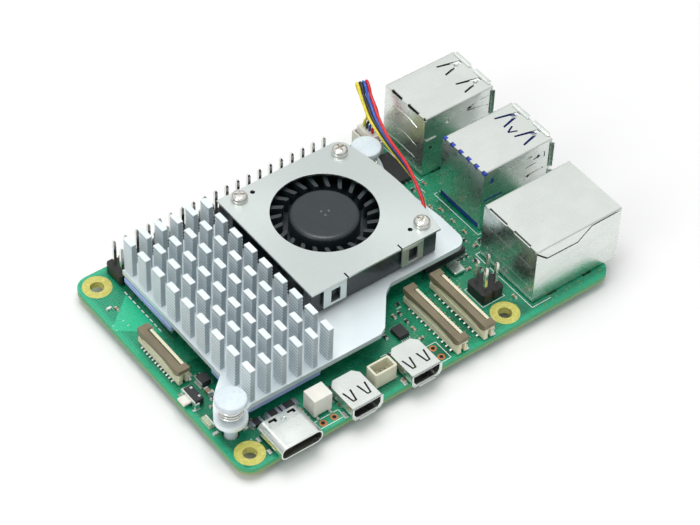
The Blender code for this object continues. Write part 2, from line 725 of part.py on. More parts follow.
def build_fan_screws():
    under, head = COVER_TOP + GAP, COVER_TOP + GAP + 1.05
    for index, centre in enumerate(FAN_SCREWS, 1):
        profile = [
            (0, head), (0.95, head), (1.4, head - 0.22), (1.6, head - 0.6), (1.6, under),
            (0.8, under), (0.8, FRAME_BOTTOM + 1.2 + GAP), (0, FRAME_BOTTOM + 1.2 + GAP),
        ]
        bm = bmesh.new()
        add_turned(bm, profile, centre, 14)
        screw = piece(f"fan_screw_{index}", bm, "nickel", pivot=(*centre, under), smooth=True)
        long, short = 0.95, 0.2
        cross = [
            (long, short), (short, short), (short, long), (-short, long), (-short, short),
            (-long, short), (-long, -short), (-short, -short), (-short, -long), (short, -long),
            (short, -short), (long, -short),
        ]
        recess = bmesh.new()
        add_prism(recess, [(centre[0] + u, centre[1] + v) for u, v in cross], head - 0.55, head + 1)
        combine(screw, recess, "DIFFERENCE")


# ---------------------------------------------------------------- push pins and springs
HEAD_BOTTOM = 8.5
HEAD_TOP = 9.8


def build_push_pins():
    barb = -BOARD_THICKNESS - 0.4
    profile = [
        (0, HEAD_TOP), (2.8, HEAD_TOP), (3.05, HEAD_TOP - 0.25), (3.05, HEAD_BOTTOM),
        (PUSH_PIN_SHAFT, HEAD_BOTTOM), (PUSH_PIN_SHAFT, barb), (1.85, barb), (1.85, barb - 0.25),
        (1.1, TAIL_BOTTOM), (0, TAIL_BOTTOM),
    ]
    for index, centre in enumerate(PUSH_PINS, 1):
        bm = bmesh.new()
        add_turned(bm, profile, centre, 24)
        piece(f"push_pin_{index}", bm, "translucent_nylon", pivot=(*centre, HEAD_BOTTOM), smooth=True)


def build_springs():
    """Coil springs between the heatsink's ears and the heads of the push pins."""
    radius, wire, turns, per_turn, sides = 1.85, 0.18, 3.5, 12, 5
    low, high = SINK_TOP + GAP + wire, HEAD_BOTTOM - GAP - wire
    count = int(turns * per_turn)
    for index, centre in enumerate(PUSH_PINS, 1):
        bm = bmesh.new()
        rings = []
        for i in range(count + 1):
            a = 2 * math.pi * i / per_turn
            z = low + (high - low) * i / count
            ring = []
            for k in range(sides):
                b = 2 * math.pi * k / sides
                reach = radius + wire * math.cos(b)
                point = (centre[0] + reach * math.cos(a), centre[1] + reach * math.sin(a))
                ring.append(bm.verts.new((*point, z + wire * math.sin(b))))
            rings.append(ring)
        bm.faces.new(rings[0])
        bm.faces.new(rings[-1])
        for first, second in zip(rings, rings[1:]):
            for k in range(sides):
                m = (k + 1) % sides
                bm.faces.new((first[k], first[m], second[m], second[k]))
        pivot = (*centre, SINK_TOP + GAP)
        piece(f"push_pin_spring_{index}", bm, "nickel", pivot=pivot, smooth=True)


# ---------------------------------------------------------------- fan wires
# middle of the four-wire bundle from the plug to the fan, and which way the last wire
# lies from the first at each point
BUNDLE = (
    ((66.90, 52.90, 5.70), (0.00, -0.92, 0.00)),
    ((66.90, 52.90, 6.80), (0.00, -0.86, 0.00)),
    ((67.40, 52.55, 8.00), (0.39, -0.57, 0.25)),
    ((67.75, 52.90, 9.40), (0.53, -0.40, 0.02)),
    ((67.55, 53.75, 11.10), (0.54, -0.35, 0.06)),
    ((67.50, 55.10, 13.00), (0.56, -0.31, 0.11)),
    ((67.50, 56.00, 14.40), (0.58, -0.29, 0.13)),
    ((67.50, 56.45, 15.15), (0.58, -0.29, 0.13)),
    ((66.90, 55.25, 15.40), (0.58, -0.29, 0.13)),
    ((66.45, 53.70, 14.60), (0.57, -0.25, 0.15)),
    ((65.90, 51.65, 13.30), (0.49, -0.29, 0.29)),
    ((65.25, 49.35, 12.30), (0.37, -0.33, 0.41)),
    ((64.55, 45.05, 11.10), (0.05, -0.36, 0.53)),
    ((64.10, 41.25, 10.60), (-0.04, -0.35, 0.54)),
    ((63.70, 37.40, 10.20), (-0.11, -0.36, 0.52)),
    ((63.15, 34.35, 9.90), (-0.25, -0.35, 0.47)),
    ((62.30, 31.50, 9.60), (-0.33, -0.32, 0.44)),
    ((61.40, 29.10, 9.30), (-0.36, -0.30, 0.43)),
    ((60.45, 27.30, 9.00), (-0.36, -0.30, 0.44)),
    ((59.60, 26.60, 8.80), (-0.36, -0.30, 0.44)),
)
WIRES = ("wire_yellow", "wire_black", "wire_blue", "wire_red")


def smooth_route(points, per_span=2):
    """Catmull-Rom curve through the points."""
    padded = [points[0] * 2 - points[1], *points, points[-1] * 2 - points[-2]]
    route = []
    for p0, p1, p2, p3 in zip(padded, padded[1:], padded[2:], padded[3:]):
        for i in range(per_span):
            t = i / per_span
            route.append(0.5 * (2 * p1 + (p2 - p0) * t + (2 * p0 - 5 * p1 + 4 * p2 - p3) * t * t
                                + (3 * p1 - p0 - 3 * p2 + p3) * t ** 3))
    route.append(points[-1])
    return route


def build_wires():
    centres = smooth_route([Vector(at) for at, _ in BUNDLE])
    leans = smooth_route([Vector(lean) for _, lean in BUNDLE])
    before = [centres[0] * 2 - centres[1], *centres[:-1]]
    after = [*centres[1:], centres[-1] * 2 - centres[-2]]
    across = []
    for lean, start, end in zip(leans, before, after):
        along = (end - start).normalized()
        across.append((lean - along * lean.dot(along)).normalized() * lean.length)
    for index, finish in enumerate(WIRES):
        place = index - (len(WIRES) - 1) / 2
        curve = bpy.data.curves.new(f"fan_{finish}", "CURVE")
        curve.dimensions = "3D"
        curve.bevel_depth = WIRE_RADIUS * MM
        curve.bevel_resolution = 2
        curve.render_resolution_u = 0
        curve.use_fill_caps = True
        spline = curve.splines.new("POLY")
        spline.points.add(len(centres) - 1)
        for point, centre, step in zip(spline.points, centres, across):
            point.co = (*((centre + step * place - ORIGIN) * MM), 1)
        curve.materials.append(MATERIALS[finish])
        bpy.context.scene.collection.objects.link(bpy.data.objects.new(f"fan_{finish}", curve))


def main():
    clear_scene()
    make_materials()
    build_board()
    build_header("gpio_header", header_pins())
    build_header("poe_header", poe_pins())
    build_ethernet()
    build_usb_stack("usb3", USB3_CENTRE_Y, "blue_nylon")
    build_usb_stack("usb2", USB2_CENTRE_Y, "black_nylon")
    build_usb_c()
    build_hdmi_ports()
    build_flat_connector("mipi0", 47.5, 0.1, 16.7)
    build_flat_connector("mipi1", 53.7, 0.1, 16.7)
    build_flat_connector("pcie", 1.9, 23.3, 36.7)
    build_small_connectors()
    build_chips()
    build_power_button()
    build_card_socket()
    build_heatsink()
    build_fan_frame()
    build_fan_cover()
    build_fan_motor()
    build_fan_screws()
    build_push_pins()
    build_springs()
    build_wires()


main()
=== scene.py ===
"""Looks for a single board computer with an active cooler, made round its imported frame.

Lengths are millimetres in the board's own axes, as in the CAD source: the origin is the
board's corner beside the power socket, +X runs to the USB and network sockets, +Y to the
pin header, and z = 0 is the board's top face. `piece` turns them into metres.
"""
import json
import math
import random

import bmesh
import bpy
from mathutils import Matrix, Vector


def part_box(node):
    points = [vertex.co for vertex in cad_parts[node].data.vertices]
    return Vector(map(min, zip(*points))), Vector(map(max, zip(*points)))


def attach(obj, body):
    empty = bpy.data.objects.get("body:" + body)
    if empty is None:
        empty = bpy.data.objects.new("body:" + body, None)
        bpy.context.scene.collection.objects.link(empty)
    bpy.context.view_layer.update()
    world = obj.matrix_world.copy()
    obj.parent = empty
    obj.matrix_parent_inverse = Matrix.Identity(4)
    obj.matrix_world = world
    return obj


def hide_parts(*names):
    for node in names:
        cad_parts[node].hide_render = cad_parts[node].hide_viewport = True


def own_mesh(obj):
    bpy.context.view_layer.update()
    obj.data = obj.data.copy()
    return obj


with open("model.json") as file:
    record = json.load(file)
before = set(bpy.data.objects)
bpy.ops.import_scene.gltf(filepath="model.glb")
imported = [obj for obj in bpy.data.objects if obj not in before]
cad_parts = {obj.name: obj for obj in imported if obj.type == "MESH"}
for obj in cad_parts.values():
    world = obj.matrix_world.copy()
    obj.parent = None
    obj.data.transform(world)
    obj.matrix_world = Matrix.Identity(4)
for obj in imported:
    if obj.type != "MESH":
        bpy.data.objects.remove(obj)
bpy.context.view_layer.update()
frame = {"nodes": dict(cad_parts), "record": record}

MM = 0.001
RING_THICKNESS = 0.05
BOARD_THICKNESS = 1.4
BOARD = (85.0, 56.0)
STAND = 0.3     # height of the undersides of the mounted parts
WALL = 0.3      # thickness of the socket shells' sheet metal
HOLES_MIDDLE, HOLES_REACH = (32.5, 28.0), (29.0, 24.5)     # mounting holes: middle +- reach
TRACE_PITCH = 0.46
MERGE = 0.001   # points nearer than this become one point
SHARP_ANGLE = math.radians(32)
ZERO = Vector((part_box("pcb")[0].x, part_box("pcb")[0].y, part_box("pcb")[1].z - RING_THICKNESS * MM))
TO_METRES = Matrix.Translation(ZERO) @ Matrix.Scale(MM, 4)


# ---------------------------------------------------------------- material nodes
class Look:
    """A procedural material; every coordinate in it is in millimetres on the object."""

    def __init__(self, name, roughness=0.5, metallic=0.0, **sockets):
        self.material = bpy.data.materials.new(name)
        self.material.use_nodes = True
        self.tree = self.material.node_tree
        self.shader = self.tree.nodes["Principled BSDF"]
        self.shader.inputs["Roughness"].default_value = roughness
        self.shader.inputs["Metallic"].default_value = metallic
        for socket, value in sockets.items():
            self.shader.inputs[socket.replace("_", " ")].default_value = value
        place = self.add("ShaderNodeTexCoord").outputs["Object"]
        self.place = self.vector("MULTIPLY_ADD", place, (1 / MM,) * 3, tuple(-ZERO / MM))

    def add(self, kind, inputs=None, **settings):
        node = self.tree.nodes.new(kind)
        for key, value in settings.items():
            setattr(node, key, value)
        for key, value in (inputs or {}).items():
            self.put(node.inputs[key], value)
        return node

    def put(self, socket, value):
        if isinstance(value, bpy.types.NodeSocket):
            self.tree.links.new(value, socket)
        else:
            socket.default_value = value

    def math(self, operation, *values):
        return self.add("ShaderNodeMath", dict(enumerate(values)), operation=operation).outputs[0]

    def plus(self, first, second):
        return self.math("ADD", first, second)

    def minus(self, first, second):
        return self.math("SUBTRACT", first, second)

    def times(self, first, second):
        return self.math("MULTIPLY", first, second)

    def size(self, value):
        return self.math("ABSOLUTE", value)

    def vector(self, operation, *values):
        return self.add("ShaderNodeVectorMath", dict(enumerate(values)), operation=operation).outputs[0]

    def stretch(self, factors):
        return self.vector("MULTIPLY", self.place, factors)

    def noise(self, scale, detail=3.0, rough=0.55, place=None):
        inputs = {"Vector": place or self.place, "Scale": scale, "Detail": detail, "Roughness": rough}
        return self.add("ShaderNodeTexNoise", inputs).outputs["Fac"]

    def cells(self, scale, output="Distance", randomness=1.0, distance="EUCLIDEAN"):
        inputs = {"Vector": self.place, "Scale": scale, "Randomness": randomness}
        return self.add("ShaderNodeTexVoronoi", inputs, distance=distance).outputs[output]

    def ramp(self, factor, low, high, start=0.0, end=1.0):
        """A number that goes smoothly from low to high as factor goes from start to end."""
        inputs = {"Value": factor, "From Min": start, "From Max": end, "To Min": low, "To Max": high}
        return self.add("ShaderNodeMapRange", inputs, interpolation_type="SMOOTHSTEP").outputs["Result"]

    def mix(self, factor, first, second):
        node = self.add("ShaderNodeMix", data_type="RGBA")
        self.put(node.inputs[0], factor)
        self.put(node.inputs[6], (*first, 1) if isinstance(first, tuple) else first)
        self.put(node.inputs[7], (*second, 1) if isinstance(second, tuple) else second)
        return node.outputs[2]

    def blend(self, factor, first, second, start, end, most=1):
        """A colour that goes from first towards second as factor goes from start to end."""
        return self.mix(self.ramp(factor, 0, most, start, end), first, second)

    def axis(self, index, place=None):
        return self.add("ShaderNodeSeparateXYZ", {0: place or self.place}).outputs[index]

    def bump(self, height, distance, normal=None):
        inputs = {"Height": height, "Distance": distance * MM, "Strength": 1.0}
        if normal:
            inputs["Normal"] = normal
        return self.add("ShaderNodeBump", inputs).outputs[0]

    def finish(self, colour, roughness, normal):
        for socket, value in (("Base Color", colour), ("Roughness", roughness), ("Normal", normal)):
            self.put(self.shader.inputs[socket], value)
        return self.material


def shade(colour, factor):
    return tuple(min(1.0, c * factor) for c in colour)


def moulded(name, colour, roughness=0.45, mottle=0.1, **sockets):
    """Moulded plastic: a faint flow pattern, a fine spark-eroded grain and uneven gloss."""
    look = Look(name, **sockets)
    flow = look.noise(0.35, 4)
    grain = look.noise(9.0, 2)
    tone = look.blend(flow, shade(colour, 1 - mottle), shade(colour, 1 + mottle), 0.3, 0.7)
    tone = look.blend(grain, tone, shade(colour, 0.75), 0.35, 0.7, 0.18)
    gloss = look.ramp(look.noise(1.7, 3), roughness - 0.06, roughness + 0.08, 0.3, 0.7)
    return look.finish(tone, gloss, look.bump(grain, 0.012))


def plated(name, colour, roughness=0.18, streak=(1, 1, 1), depth=0.0015, mottle=0.03):
    """Plated sheet metal: faint rolling streaks, soft stains and slightly wavy gloss."""
    look = Look(name, metallic=1.0)
    rolled = look.noise(0.45, 2, place=look.stretch(streak))
    stain = look.noise(0.16, 3)
    tone = look.blend(stain, shade(colour, 1 - mottle), shade(colour, 1 + mottle), 0.35, 0.65)
    tone = look.blend(rolled, tone, shade(colour, 0.93), 0.4, 0.75, 0.4)
    gloss = look.plus(look.ramp(rolled, roughness - 0.03, roughness + 0.04, 0.3, 0.7),
                      look.ramp(stain, -0.02, 0.03, 0.35, 0.65))
    wave = look.bump(look.noise(0.2, 2), 0.04)
    return look.finish(tone, gloss, look.bump(rolled, depth, wave))


def make_board_look():
    look = Look("solder_mask_look", Coat_Weight=0.15, Coat_Roughness=0.12)
    plus, minus, times, size = look.plus, look.minus, look.times, look.size
    x, y = look.axis(0), look.axis(1)
    # copper under the mask: bundles of parallel traces whose direction changes by cell
    cell = look.cells(0.17, "Color", 0.9, "CHEBYCHEV")
    pick = look.axis(0, cell)
    lines = []
    for run in (x, y, times(plus(x, y), 0.7071)):
        wave = look.math("PINGPONG", times(run, 1 / TRACE_PITCH), 0.5)
        lines.append(look.ramp(wave, 0, 1, 0.2, 0.3))
    second, third = (look.math("GREATER_THAN", pick, share) for share in (0.33, 0.62))
    trace = plus(times(lines[0], minus(1.0, second)),
                 plus(times(lines[1], minus(second, third)), times(lines[2], third)))
    routed = look.ramp(look.axis(1, cell), 0, 1, 0.42, 0.5)
    # copper pour with its dots: a grid of stitching holes filled with mask
    dots = look.ramp(look.cells(1.95, randomness=0.15), 0, 1, 0.22, 0.32)
    margin = times(look.ramp(x, 1, 0, 6.6, 7.4), look.ramp(y, 0, 1, 33.0, 36.0))
    field = look.math("MAXIMUM", margin, look.ramp(look.noise(0.09, 1), 0, 0.5, 0.44, 0.5))
    edges = [minus(full / 2, size(minus(run, full / 2))) for run, full in zip((x, y), BOARD)]
    rim = look.ramp(look.math("MINIMUM", *edges), 1, 0, 0.5, 1.6)
    copper = times(times(trace, routed), minus(1.0, rim))
    dark, mid, light = (0.003, 0.115, 0.058), (0.006, 0.25, 0.125), (0.025, 0.47, 0.25)
    green = look.blend(look.noise(0.07, 3), dark, mid, 0.35, 0.65)
    green = look.mix(times(copper, 0.4), green, light)
    green = look.mix(margin, green, (0.012, 0.33, 0.17))
    green = look.mix(times(minus(1.0, dots), times(field, 0.8)), green, (0.003, 0.06, 0.035))
    green = look.mix(times(rim, 0.6), green, light)
    # antenna clearing at the left edge, where there is no copper
    aerial = minus(size(minus(y, 42.0)), times(x, 0.82))
    cleared = times(look.ramp(aerial, 1, 0, 0.1, 0.3), look.ramp(x, 1, 0, 6.6, 7.0))
    green = look.mix(cleared, green, (0.02, 0.5, 0.26))
    # bare plated rings round the mounting holes
    across, along = (minus(size(minus(run, middle)), reach)
                     for run, middle, reach in zip((x, y), HOLES_MIDDLE, HOLES_REACH))
    away = look.math("SQRT", plus(times(across, across), times(along, along)))
    spokes = look.math("PINGPONG", times(look.math("ARCTAN2", along, across), 7.6), 0.5)
    pad = look.blend(spokes, (0.54, 0.5, 0.1), (0.38, 0.42, 0.08), 0.1, 0.4, 0.45)
    pad = look.blend(look.noise(1.6, 3), pad, (0.72, 0.66, 0.24), 0.4, 0.7, 0.6)
    tone = look.mix(look.ramp(away, 1, 0, 2.83, 2.87), green, pad)
    # glass-fibre laminate at the sawn edge
    facing = size(look.axis(2, look.add("ShaderNodeNewGeometry").outputs["Normal"]))
    sawn = times(look.ramp(facing, 1, 0, 0.4, 0.6), look.ramp(away, 0, 1, 2.5, 2.9))
    fibre = look.noise(3.0, 3, place=look.stretch((1, 1, 5)))
    low = times(look.ramp(look.axis(2), 1, 0, -1.1, -0.75), look.ramp(fibre, 0.7, 1))
    tone = look.mix(sawn, tone, look.mix(low, (0.05, 0.36, 0.16), (0.3, 0.36, 0.11)))
    gloss = plus(look.ramp(look.noise(0.9, 3), 0.24, 0.36, 0.3, 0.7), times(sawn, 0.35))
    height = plus(copper, times(dots, field))
    return look.finish(tone, gloss, look.bump(height, 0.02, look.bump(look.noise(5.0, 2), 0.004)))


def make_brushed_look():
    """Brushed steel of the blower's cover, with long scratches along the board."""
    look = Look("brushed_plate_look", metallic=1.0, Anisotropic=0.35)
    fine = look.noise(2.0, 5, 0.7, place=look.stretch((0.35, 7, 7)))
    broad = look.noise(0.6, 3, place=look.stretch((0.3, 2.2, 2)))
    tone = look.blend(fine, (0.6, 0.655, 0.64), (0.65, 0.7, 0.685), 0.3, 0.7)
    tone = look.blend(broad, tone, (0.6, 0.65, 0.63), 0.4, 0.7, 0.3)
    gloss = look.ramp(fine, 0.3, 0.42, 0.3, 0.7)
    return look.finish(tone, gloss, look.bump(fine, 0.004))


def make_anodised_look():
    look = Look("anodised_look", metallic=0.4)
    blast = look.noise(7.0, 3)
    haze = look.noise(0.12, 2)
    tone = look.blend(haze, (0.72, 0.8, 0.825), (0.79, 0.86, 0.88), 0.35, 0.65)
    tone = look.blend(blast, tone, (0.66, 0.73, 0.78), 0.4, 0.75, 0.3)
    return look.finish(tone, look.ramp(blast, 0.36, 0.5, 0.3, 0.7), look.bump(blast, 0.008))


def make_pad_look():
    look = Look("thermal_pad_look", roughness=0.75, Subsurface_Weight=0.15, Subsurface_Scale=0.0006)
    crumb = look.cells(6.0)
    tone = look.blend(look.noise(0.5, 3), (0.27, 0.36, 0.68), (0.36, 0.45, 0.78), 0.3, 0.7)
    tone = look.blend(crumb, tone, (0.5, 0.56, 0.85), 0.2, 0.6, 0.3)
    return look.finish(tone, look.ramp(crumb, 0.65, 0.85), look.bump(look.noise(2.5, 3), 0.04))


def make_epoxy_look(colour):
    """Moulding compound of a chip: speckled with filler."""
    look = Look("chip_epoxy_look")
    fill = look.cells(14.0)
    tone = look.mix(look.ramp(fill, 0.5, 0, 0.1, 0.45), colour, shade(colour, 2.2))
    tone = look.blend(look.noise(0.6, 2), tone, shade(colour, 1.6), 0.35, 0.7, 0.5)
    return look.finish(tone, look.ramp(look.noise(3.0, 3), 0.34, 0.5, 0.3, 0.7), look.bump(fill, 0.008))


def make_milky_look():
    look = Look("translucent_nylon_look", Subsurface_Weight=0.12, Subsurface_Scale=0.0008)
    cloud = look.noise(0.3, 2)
    tone = look.blend(cloud, (0.6, 0.69, 0.73), (0.66, 0.74, 0.78), 0.3, 0.7)
    return look.finish(tone, look.ramp(look.noise(1.2, 2), 0.26, 0.34, 0.3, 0.7), look.bump(cloud, 0.02))


def make_wire_look(name, colour):
    """Vinyl sleeve: faint draw lines and a soft waxy gloss."""
    look = Look(f"{name}_look", Coat_Weight=0.2, Coat_Roughness=0.25)
    drawn = look.noise(5.0, 3, place=look.stretch((1, 0.25, 1)))
    tone = look.blend(drawn, shade(colour, 0.8), shade(colour, 1.15), 0.3, 0.7)
    return look.finish(tone, look.ramp(look.noise(2.0, 2), 0.3, 0.45, 0.3, 0.7), look.bump(drawn, 0.01))


def make_floor_look():
    look = Look("floor_look", roughness=0.6)
    soft = look.noise(0.004, 3)
    tone = look.blend(soft, (0.82, 0.82, 0.82), (0.85, 0.85, 0.85), 0.3, 0.7)
    return look.finish(tone, look.ramp(look.noise(0.02, 3), 0.55, 0.7), look.bump(look.noise(0.3, 2), 0.01))


TIN = (0.745, 0.785, 0.75)
LOOKS = {
    "solder_mask": make_board_look(),
    "brushed_plate": make_brushed_look(),
    "anodised_aluminium": make_anodised_look(),
    "thermal_pad": make_pad_look(),
    "chip_epoxy": make_epoxy_look((0.017, 0.018, 0.02)),
    "translucent_nylon": make_milky_look(),
    "black_nylon": moulded("black_nylon_look", (0.014, 0.014, 0.015), 0.42),
    "fan_plastic": moulded("fan_plastic_look", (0.013, 0.021, 0.024), 0.33, Coat_Weight=0.1),
    "blue_nylon": moulded("blue_nylon_look", (0.016, 0.05, 0.4), 0.4),
    "cream_nylon": moulded("cream_nylon_look", (0.72, 0.69, 0.5), 0.5, 0.05, Subsurface_Weight=0.1,
                           Subsurface_Scale=0.0005),
    "brown_nylon": moulded("brown_nylon_look", (0.18, 0.15, 0.092), 0.48, 0.12),
    "white_nylon": moulded("white_nylon_look", (0.76, 0.755, 0.69), 0.42, 0.03, Subsurface_Weight=0.15,
                           Subsurface_Scale=0.0006),
    "tinned_steel": plated("tinned_steel_look", TIN, 0.27, (0.5, 2, 2), 0.0006, 0.02),
    "nickel": plated("nickel_look", (0.8, 0.79, 0.75), 0.14),
    "brass": plated("brass_look", (0.72, 0.52, 0.2), 0.3),
    "led_lens": moulded("led_lens_look", (0.66, 0.74, 0.52), 0.2, 0.06, Transmission_Weight=0.35),
    "wire_yellow": make_wire_look("wire_yellow", (0.78, 0.66, 0.03)),
    "wire_black": make_wire_look("wire_black", (0.014, 0.015, 0.018)),
    "wire_blue": make_wire_look("wire_blue", (0.025, 0.1, 0.45)),
    "wire_red": make_wire_look("wire_red", (0.65, 0.012, 0.015)),
}
GOLD = plated("gold_contact_look", (0.85, 0.62, 0.25), 0.22, (2, 2, 2), 0.002)
SOLDER = plated("solder_look", (0.74, 0.74, 0.73), 0.3, (2, 2, 2), 0.01)
VIA = plated("masked_via_look", (0.3, 0.5, 0.2), 0.3)
COPPER = plated("bare_copper_look", (0.6, 0.25, 0.11), 0.42, (2, 2, 2), 0.006, 0.2)
INK = moulded("silkscreen_look", (0.8, 0.84, 0.82), 0.55, 0.05)
CERAMIC = moulded("ceramic_look", (0.3, 0.2, 0.11), 0.4, 0.2)
SOCKET = moulded("cream_socket_look", (0.66, 0.65, 0.5), 0.45, 0.04)
# hub's moulded gate marks: the fan plastic painted lighter, as a painted highlight that the small bumps catch
GATE_HIGHLIGHT = moulded("gate_mark_painted_highlight_look", (0.1, 0.115, 0.115), 0.5)
# fin cores: the anodised tone painted darker, as painted shade in the grooves between the fins' ribs
GROOVE_SHADE = moulded("painted_groove_shade_look", (0.42, 0.49, 0.52), 0.5, 0.06, metallic=0.3)
# near-black discs that stand for the shade inside the open test holes: painted shade
HOLE_SHADE = moulded("painted_hole_shade_look", (0.006, 0.006, 0.007), 0.8, 0.1)


# ---------------------------------------------------------------- shapes
def about(middle, half):
    return (middle - half, middle + half)


def corner_box(x, y):
    return [(x[0], y[0]), (x[1], y[0]), (x[1], y[1]), (x[0], y[1])]


def swing(centre, offset, degrees):
    """The point at an offset from the centre, turned about it."""
    cos, sin = math.cos(math.radians(degrees)), math.sin(math.radians(degrees))
    return (centre[0] + offset[0] * cos - offset[1] * sin, centre[1] + offset[0] * sin + offset[1] * cos)


def arc(centre, radius, start, end, steps):
    angles = [math.radians(start + (end - start) * i / steps) for i in range(steps + 1)]
    return [(centre[0] + radius * math.cos(a), centre[1] + radius * math.sin(a)) for a in angles]


def circle(centre, radius, sides):
    return arc(centre, radius, 0, 360 - 360 / sides, sides - 1)


def rounded(x, y, radius, steps=6):
    """An upright box outline with its corners rounded."""
    (left, right), (near, far) = (x[0] + radius, x[1] - radius), (y[0] + radius, y[1] - radius)
    points = []
    for centre, start in (((right, far), 0), ((left, far), 90), ((left, near), 180), ((right, near), 270)):
        points += arc(centre, radius, start, start + 90, steps)
    return points


def skin(bm, rings, closed=False):
    """Faces from each ring of points to the next, and from the last to the first if closed."""
    for first, second in zip(rings, rings[1:] + (rings[:1] if closed else [])):
        for i in range(len(first)):
            j = (i + 1) % len(first)
            corners = [first[i], first[j], second[j], second[i]]
            corners = [v for k, v in enumerate(corners) if v not in corners[:k]]
            if len(corners) > 2:
                bm.faces.new(corners)


def capped(bm, rings):
    """A closed shape through the rings of points."""
    bm.faces.new(rings[0])
    bm.faces.new(rings[-1])
    skin(bm, rings)


def prism(bm, outline, low, high, axis="Z"):
    """Extrude a closed outline of (u, v) points along an axis."""
    def corner(u, v, w):
        return {"X": (w, u, v), "Y": (u, w, v), "Z": (u, v, w)}[axis]

    capped(bm, [[bm.verts.new(corner(u, v, w)) for u, v in outline] for w in (low, high)])


def block(bm, x, y, z):
    prism(bm, corner_box(x, y), *z)


def solid(outline, low, high, axis="Z"):
    """A new shape with one prism in it."""
    bm = bmesh.new()
    prism(bm, outline, low, high, axis)
    return bm


def blocks(*spans):
    """A new shape made of blocks, each given by its spans in x, y and z."""
    bm = bmesh.new()
    for span in spans:
        block(bm, *span)
    return bm


def turned(bm, profile, centre, sides):
    """Turn a profile of (radius, z) about a vertical axis, from axis to axis or in a ring."""
    rings = []
    for radius, z in profile:
        if radius == 0:
            rings.append([bm.verts.new((*centre, z))] * sides)
        else:
            rings.append([bm.verts.new((*p, z)) for p in circle(centre, radius, sides)])
    skin(bm, rings, closed=profile[0][0] > 0)


def turning(profile, centre, sides):
    """A new shape with one turned solid in it."""
    bm = bmesh.new()
    turned(bm, profile, centre, sides)
    return bm


def tube(bm, points, radius, sides=10):
    """A round bar swept along points."""
    points = [Vector(p) for p in points]
    side = (points[1] - points[0]).normalized().orthogonal().normalized()
    rings = []
    for i, point in enumerate(points):
        along = (points[min(i + 1, len(points) - 1)] - points[max(i - 1, 0)]).normalized()
        side = (side - along * side.dot(along)).normalized()
        other = along.cross(side)
        angles = [2 * math.pi * k / sides for k in range(sides)]
        ring = [point + (side * math.cos(a) + other * math.sin(a)) * radius for a in angles]
        rings.append([bm.verts.new(at) for at in ring])
    capped(bm, rings)


def link(obj):
    bpy.context.scene.collection.objects.link(obj)
    return obj


def make(bm):
    bmesh.ops.recalc_face_normals(bm, faces=bm.faces)
    mesh = bpy.data.meshes.new("shape")
    bm.to_mesh(mesh)
    bm.free()
    return link(bpy.data.objects.new("shape", mesh))


def carve(obj, tool, operation="DIFFERENCE"):
    guide = make(tool)
    modifier = obj.modifiers.new("carve", "BOOLEAN")
    modifier.object = guide
    modifier.operation = operation
    modifier.solver = "EXACT"
    modifier.use_self = True
    bpy.context.view_layer.update()
    graph = bpy.context.evaluated_depsgraph_get()
    result = bpy.data.meshes.new_from_object(obj.evaluated_get(graph))
    obj.modifiers.remove(modifier)
    obj.data = result
    bpy.data.objects.remove(guide)


def piece(name, shape, look, body="board", stands_for=(), cuts=(), unions=(), bevel=0.0, steps=2, slot=None):
    """Make one finished piece from a bmesh in board millimetres."""
    obj = make(shape)
    for tool in unions:
        carve(obj, tool, "UNION")
    for tool in cuts:
        carve(obj, tool)
    obj.name = obj.data.name = name
    obj.data.transform(TO_METRES)
    obj.data.materials.clear()
    obj.data.materials.append(LOOKS[look] if isinstance(look, str) else look)
    for face in obj.data.polygons:
        face.material_index = 0
    obj.data.shade_smooth()
    obj.data.set_sharp_from_angle(angle=SHARP_ANGLE)
    if bevel:
        edges = obj.modifiers.new("edges", "BEVEL")
        edges.width = bevel * MM
        edges.segments = steps
        edges.limit_method = "ANGLE"
        edges.angle_limit = SHARP_ANGLE
        edges.harden_normals = True
        edges.use_clamp_overlap = True
    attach(obj, body)
    if isinstance(look, str):
        slot or look
    if stands_for:
        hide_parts(stands_for)
    return obj


def refine(node, look, bevel):
    """A CAD node's own shape with its flat faces merged and its edges rounded."""
    bm = bmesh.new()
    bm.from_mesh(frame["nodes"][node].data)
    bmesh.ops.transform(bm, matrix=TO_METRES.inverted(), verts=bm.verts)
    bmesh.ops.remove_doubles(bm, verts=bm.verts, dist=MERGE)
    bmesh.ops.dissolve_limit(bm, angle_limit=math.radians(1), verts=bm.verts, edges=bm.edges)
    piece(f"{node}_detail", bm, look, stands_for=node, bevel=bevel)


# ---------------------------------------------------------------- camera, floor and light
CAMERA_PLACE = (-168.70, -236.91, 357.89)
CAMERA_ANGLE = 15.157
PICTURE_RIGHT = (0.79912, -0.60040, 0.03038)
PICTURE_DOWN = (-0.41723, -0.59028, -0.69101)
CAMERA_AHEAD = (0.43281, 0.53952, -0.72221)
FLOOR_LEVEL, FLOOR_TILE, FLOOR_TILES = -3.15, 100, 12
LAMP_TARGET = (42, 28, 4)
LAMPS = (
    ("softbox_top", (20, 60, 420), 260, 0.9),
    ("softbox_left", (-380, -40, 300), 260, 0.35),
    ("softbox_rear", (250, 287, 351), 500, 0.1),
)


def build_camera():
    camera = link(bpy.data.objects.new("camera", bpy.data.cameras.new("camera")))
    turn = Matrix((Vector(PICTURE_RIGHT), -Vector(PICTURE_DOWN), -Vector(CAMERA_AHEAD))).transposed()
    camera.matrix_world = Matrix.Translation(TO_METRES @ Vector(CAMERA_PLACE)) @ turn.to_4x4()
    camera.data.sensor_fit = "HORIZONTAL"
    camera.data.angle = math.radians(CAMERA_ANGLE)
    camera.data.clip_start = 0.01
    bpy.context.scene.camera = camera


def build_floor():
    bm = bmesh.new()
    tiles = range(-FLOOR_TILES, FLOOR_TILES)
    for x, y in ((x, y) for x in tiles for y in tiles):
        corners = corner_box(*((FLOOR_TILE * step, FLOOR_TILE * (step + 1)) for step in (x, y)))
        bm.faces.new([bm.verts.new((*corner, FLOOR_LEVEL)) for corner in corners])
    bmesh.ops.remove_doubles(bm, verts=bm.verts, dist=MERGE)
    floor = make(bm)
    floor.name = "floor"
    floor.data.transform(TO_METRES)
    floor.data.materials.append(make_floor_look())


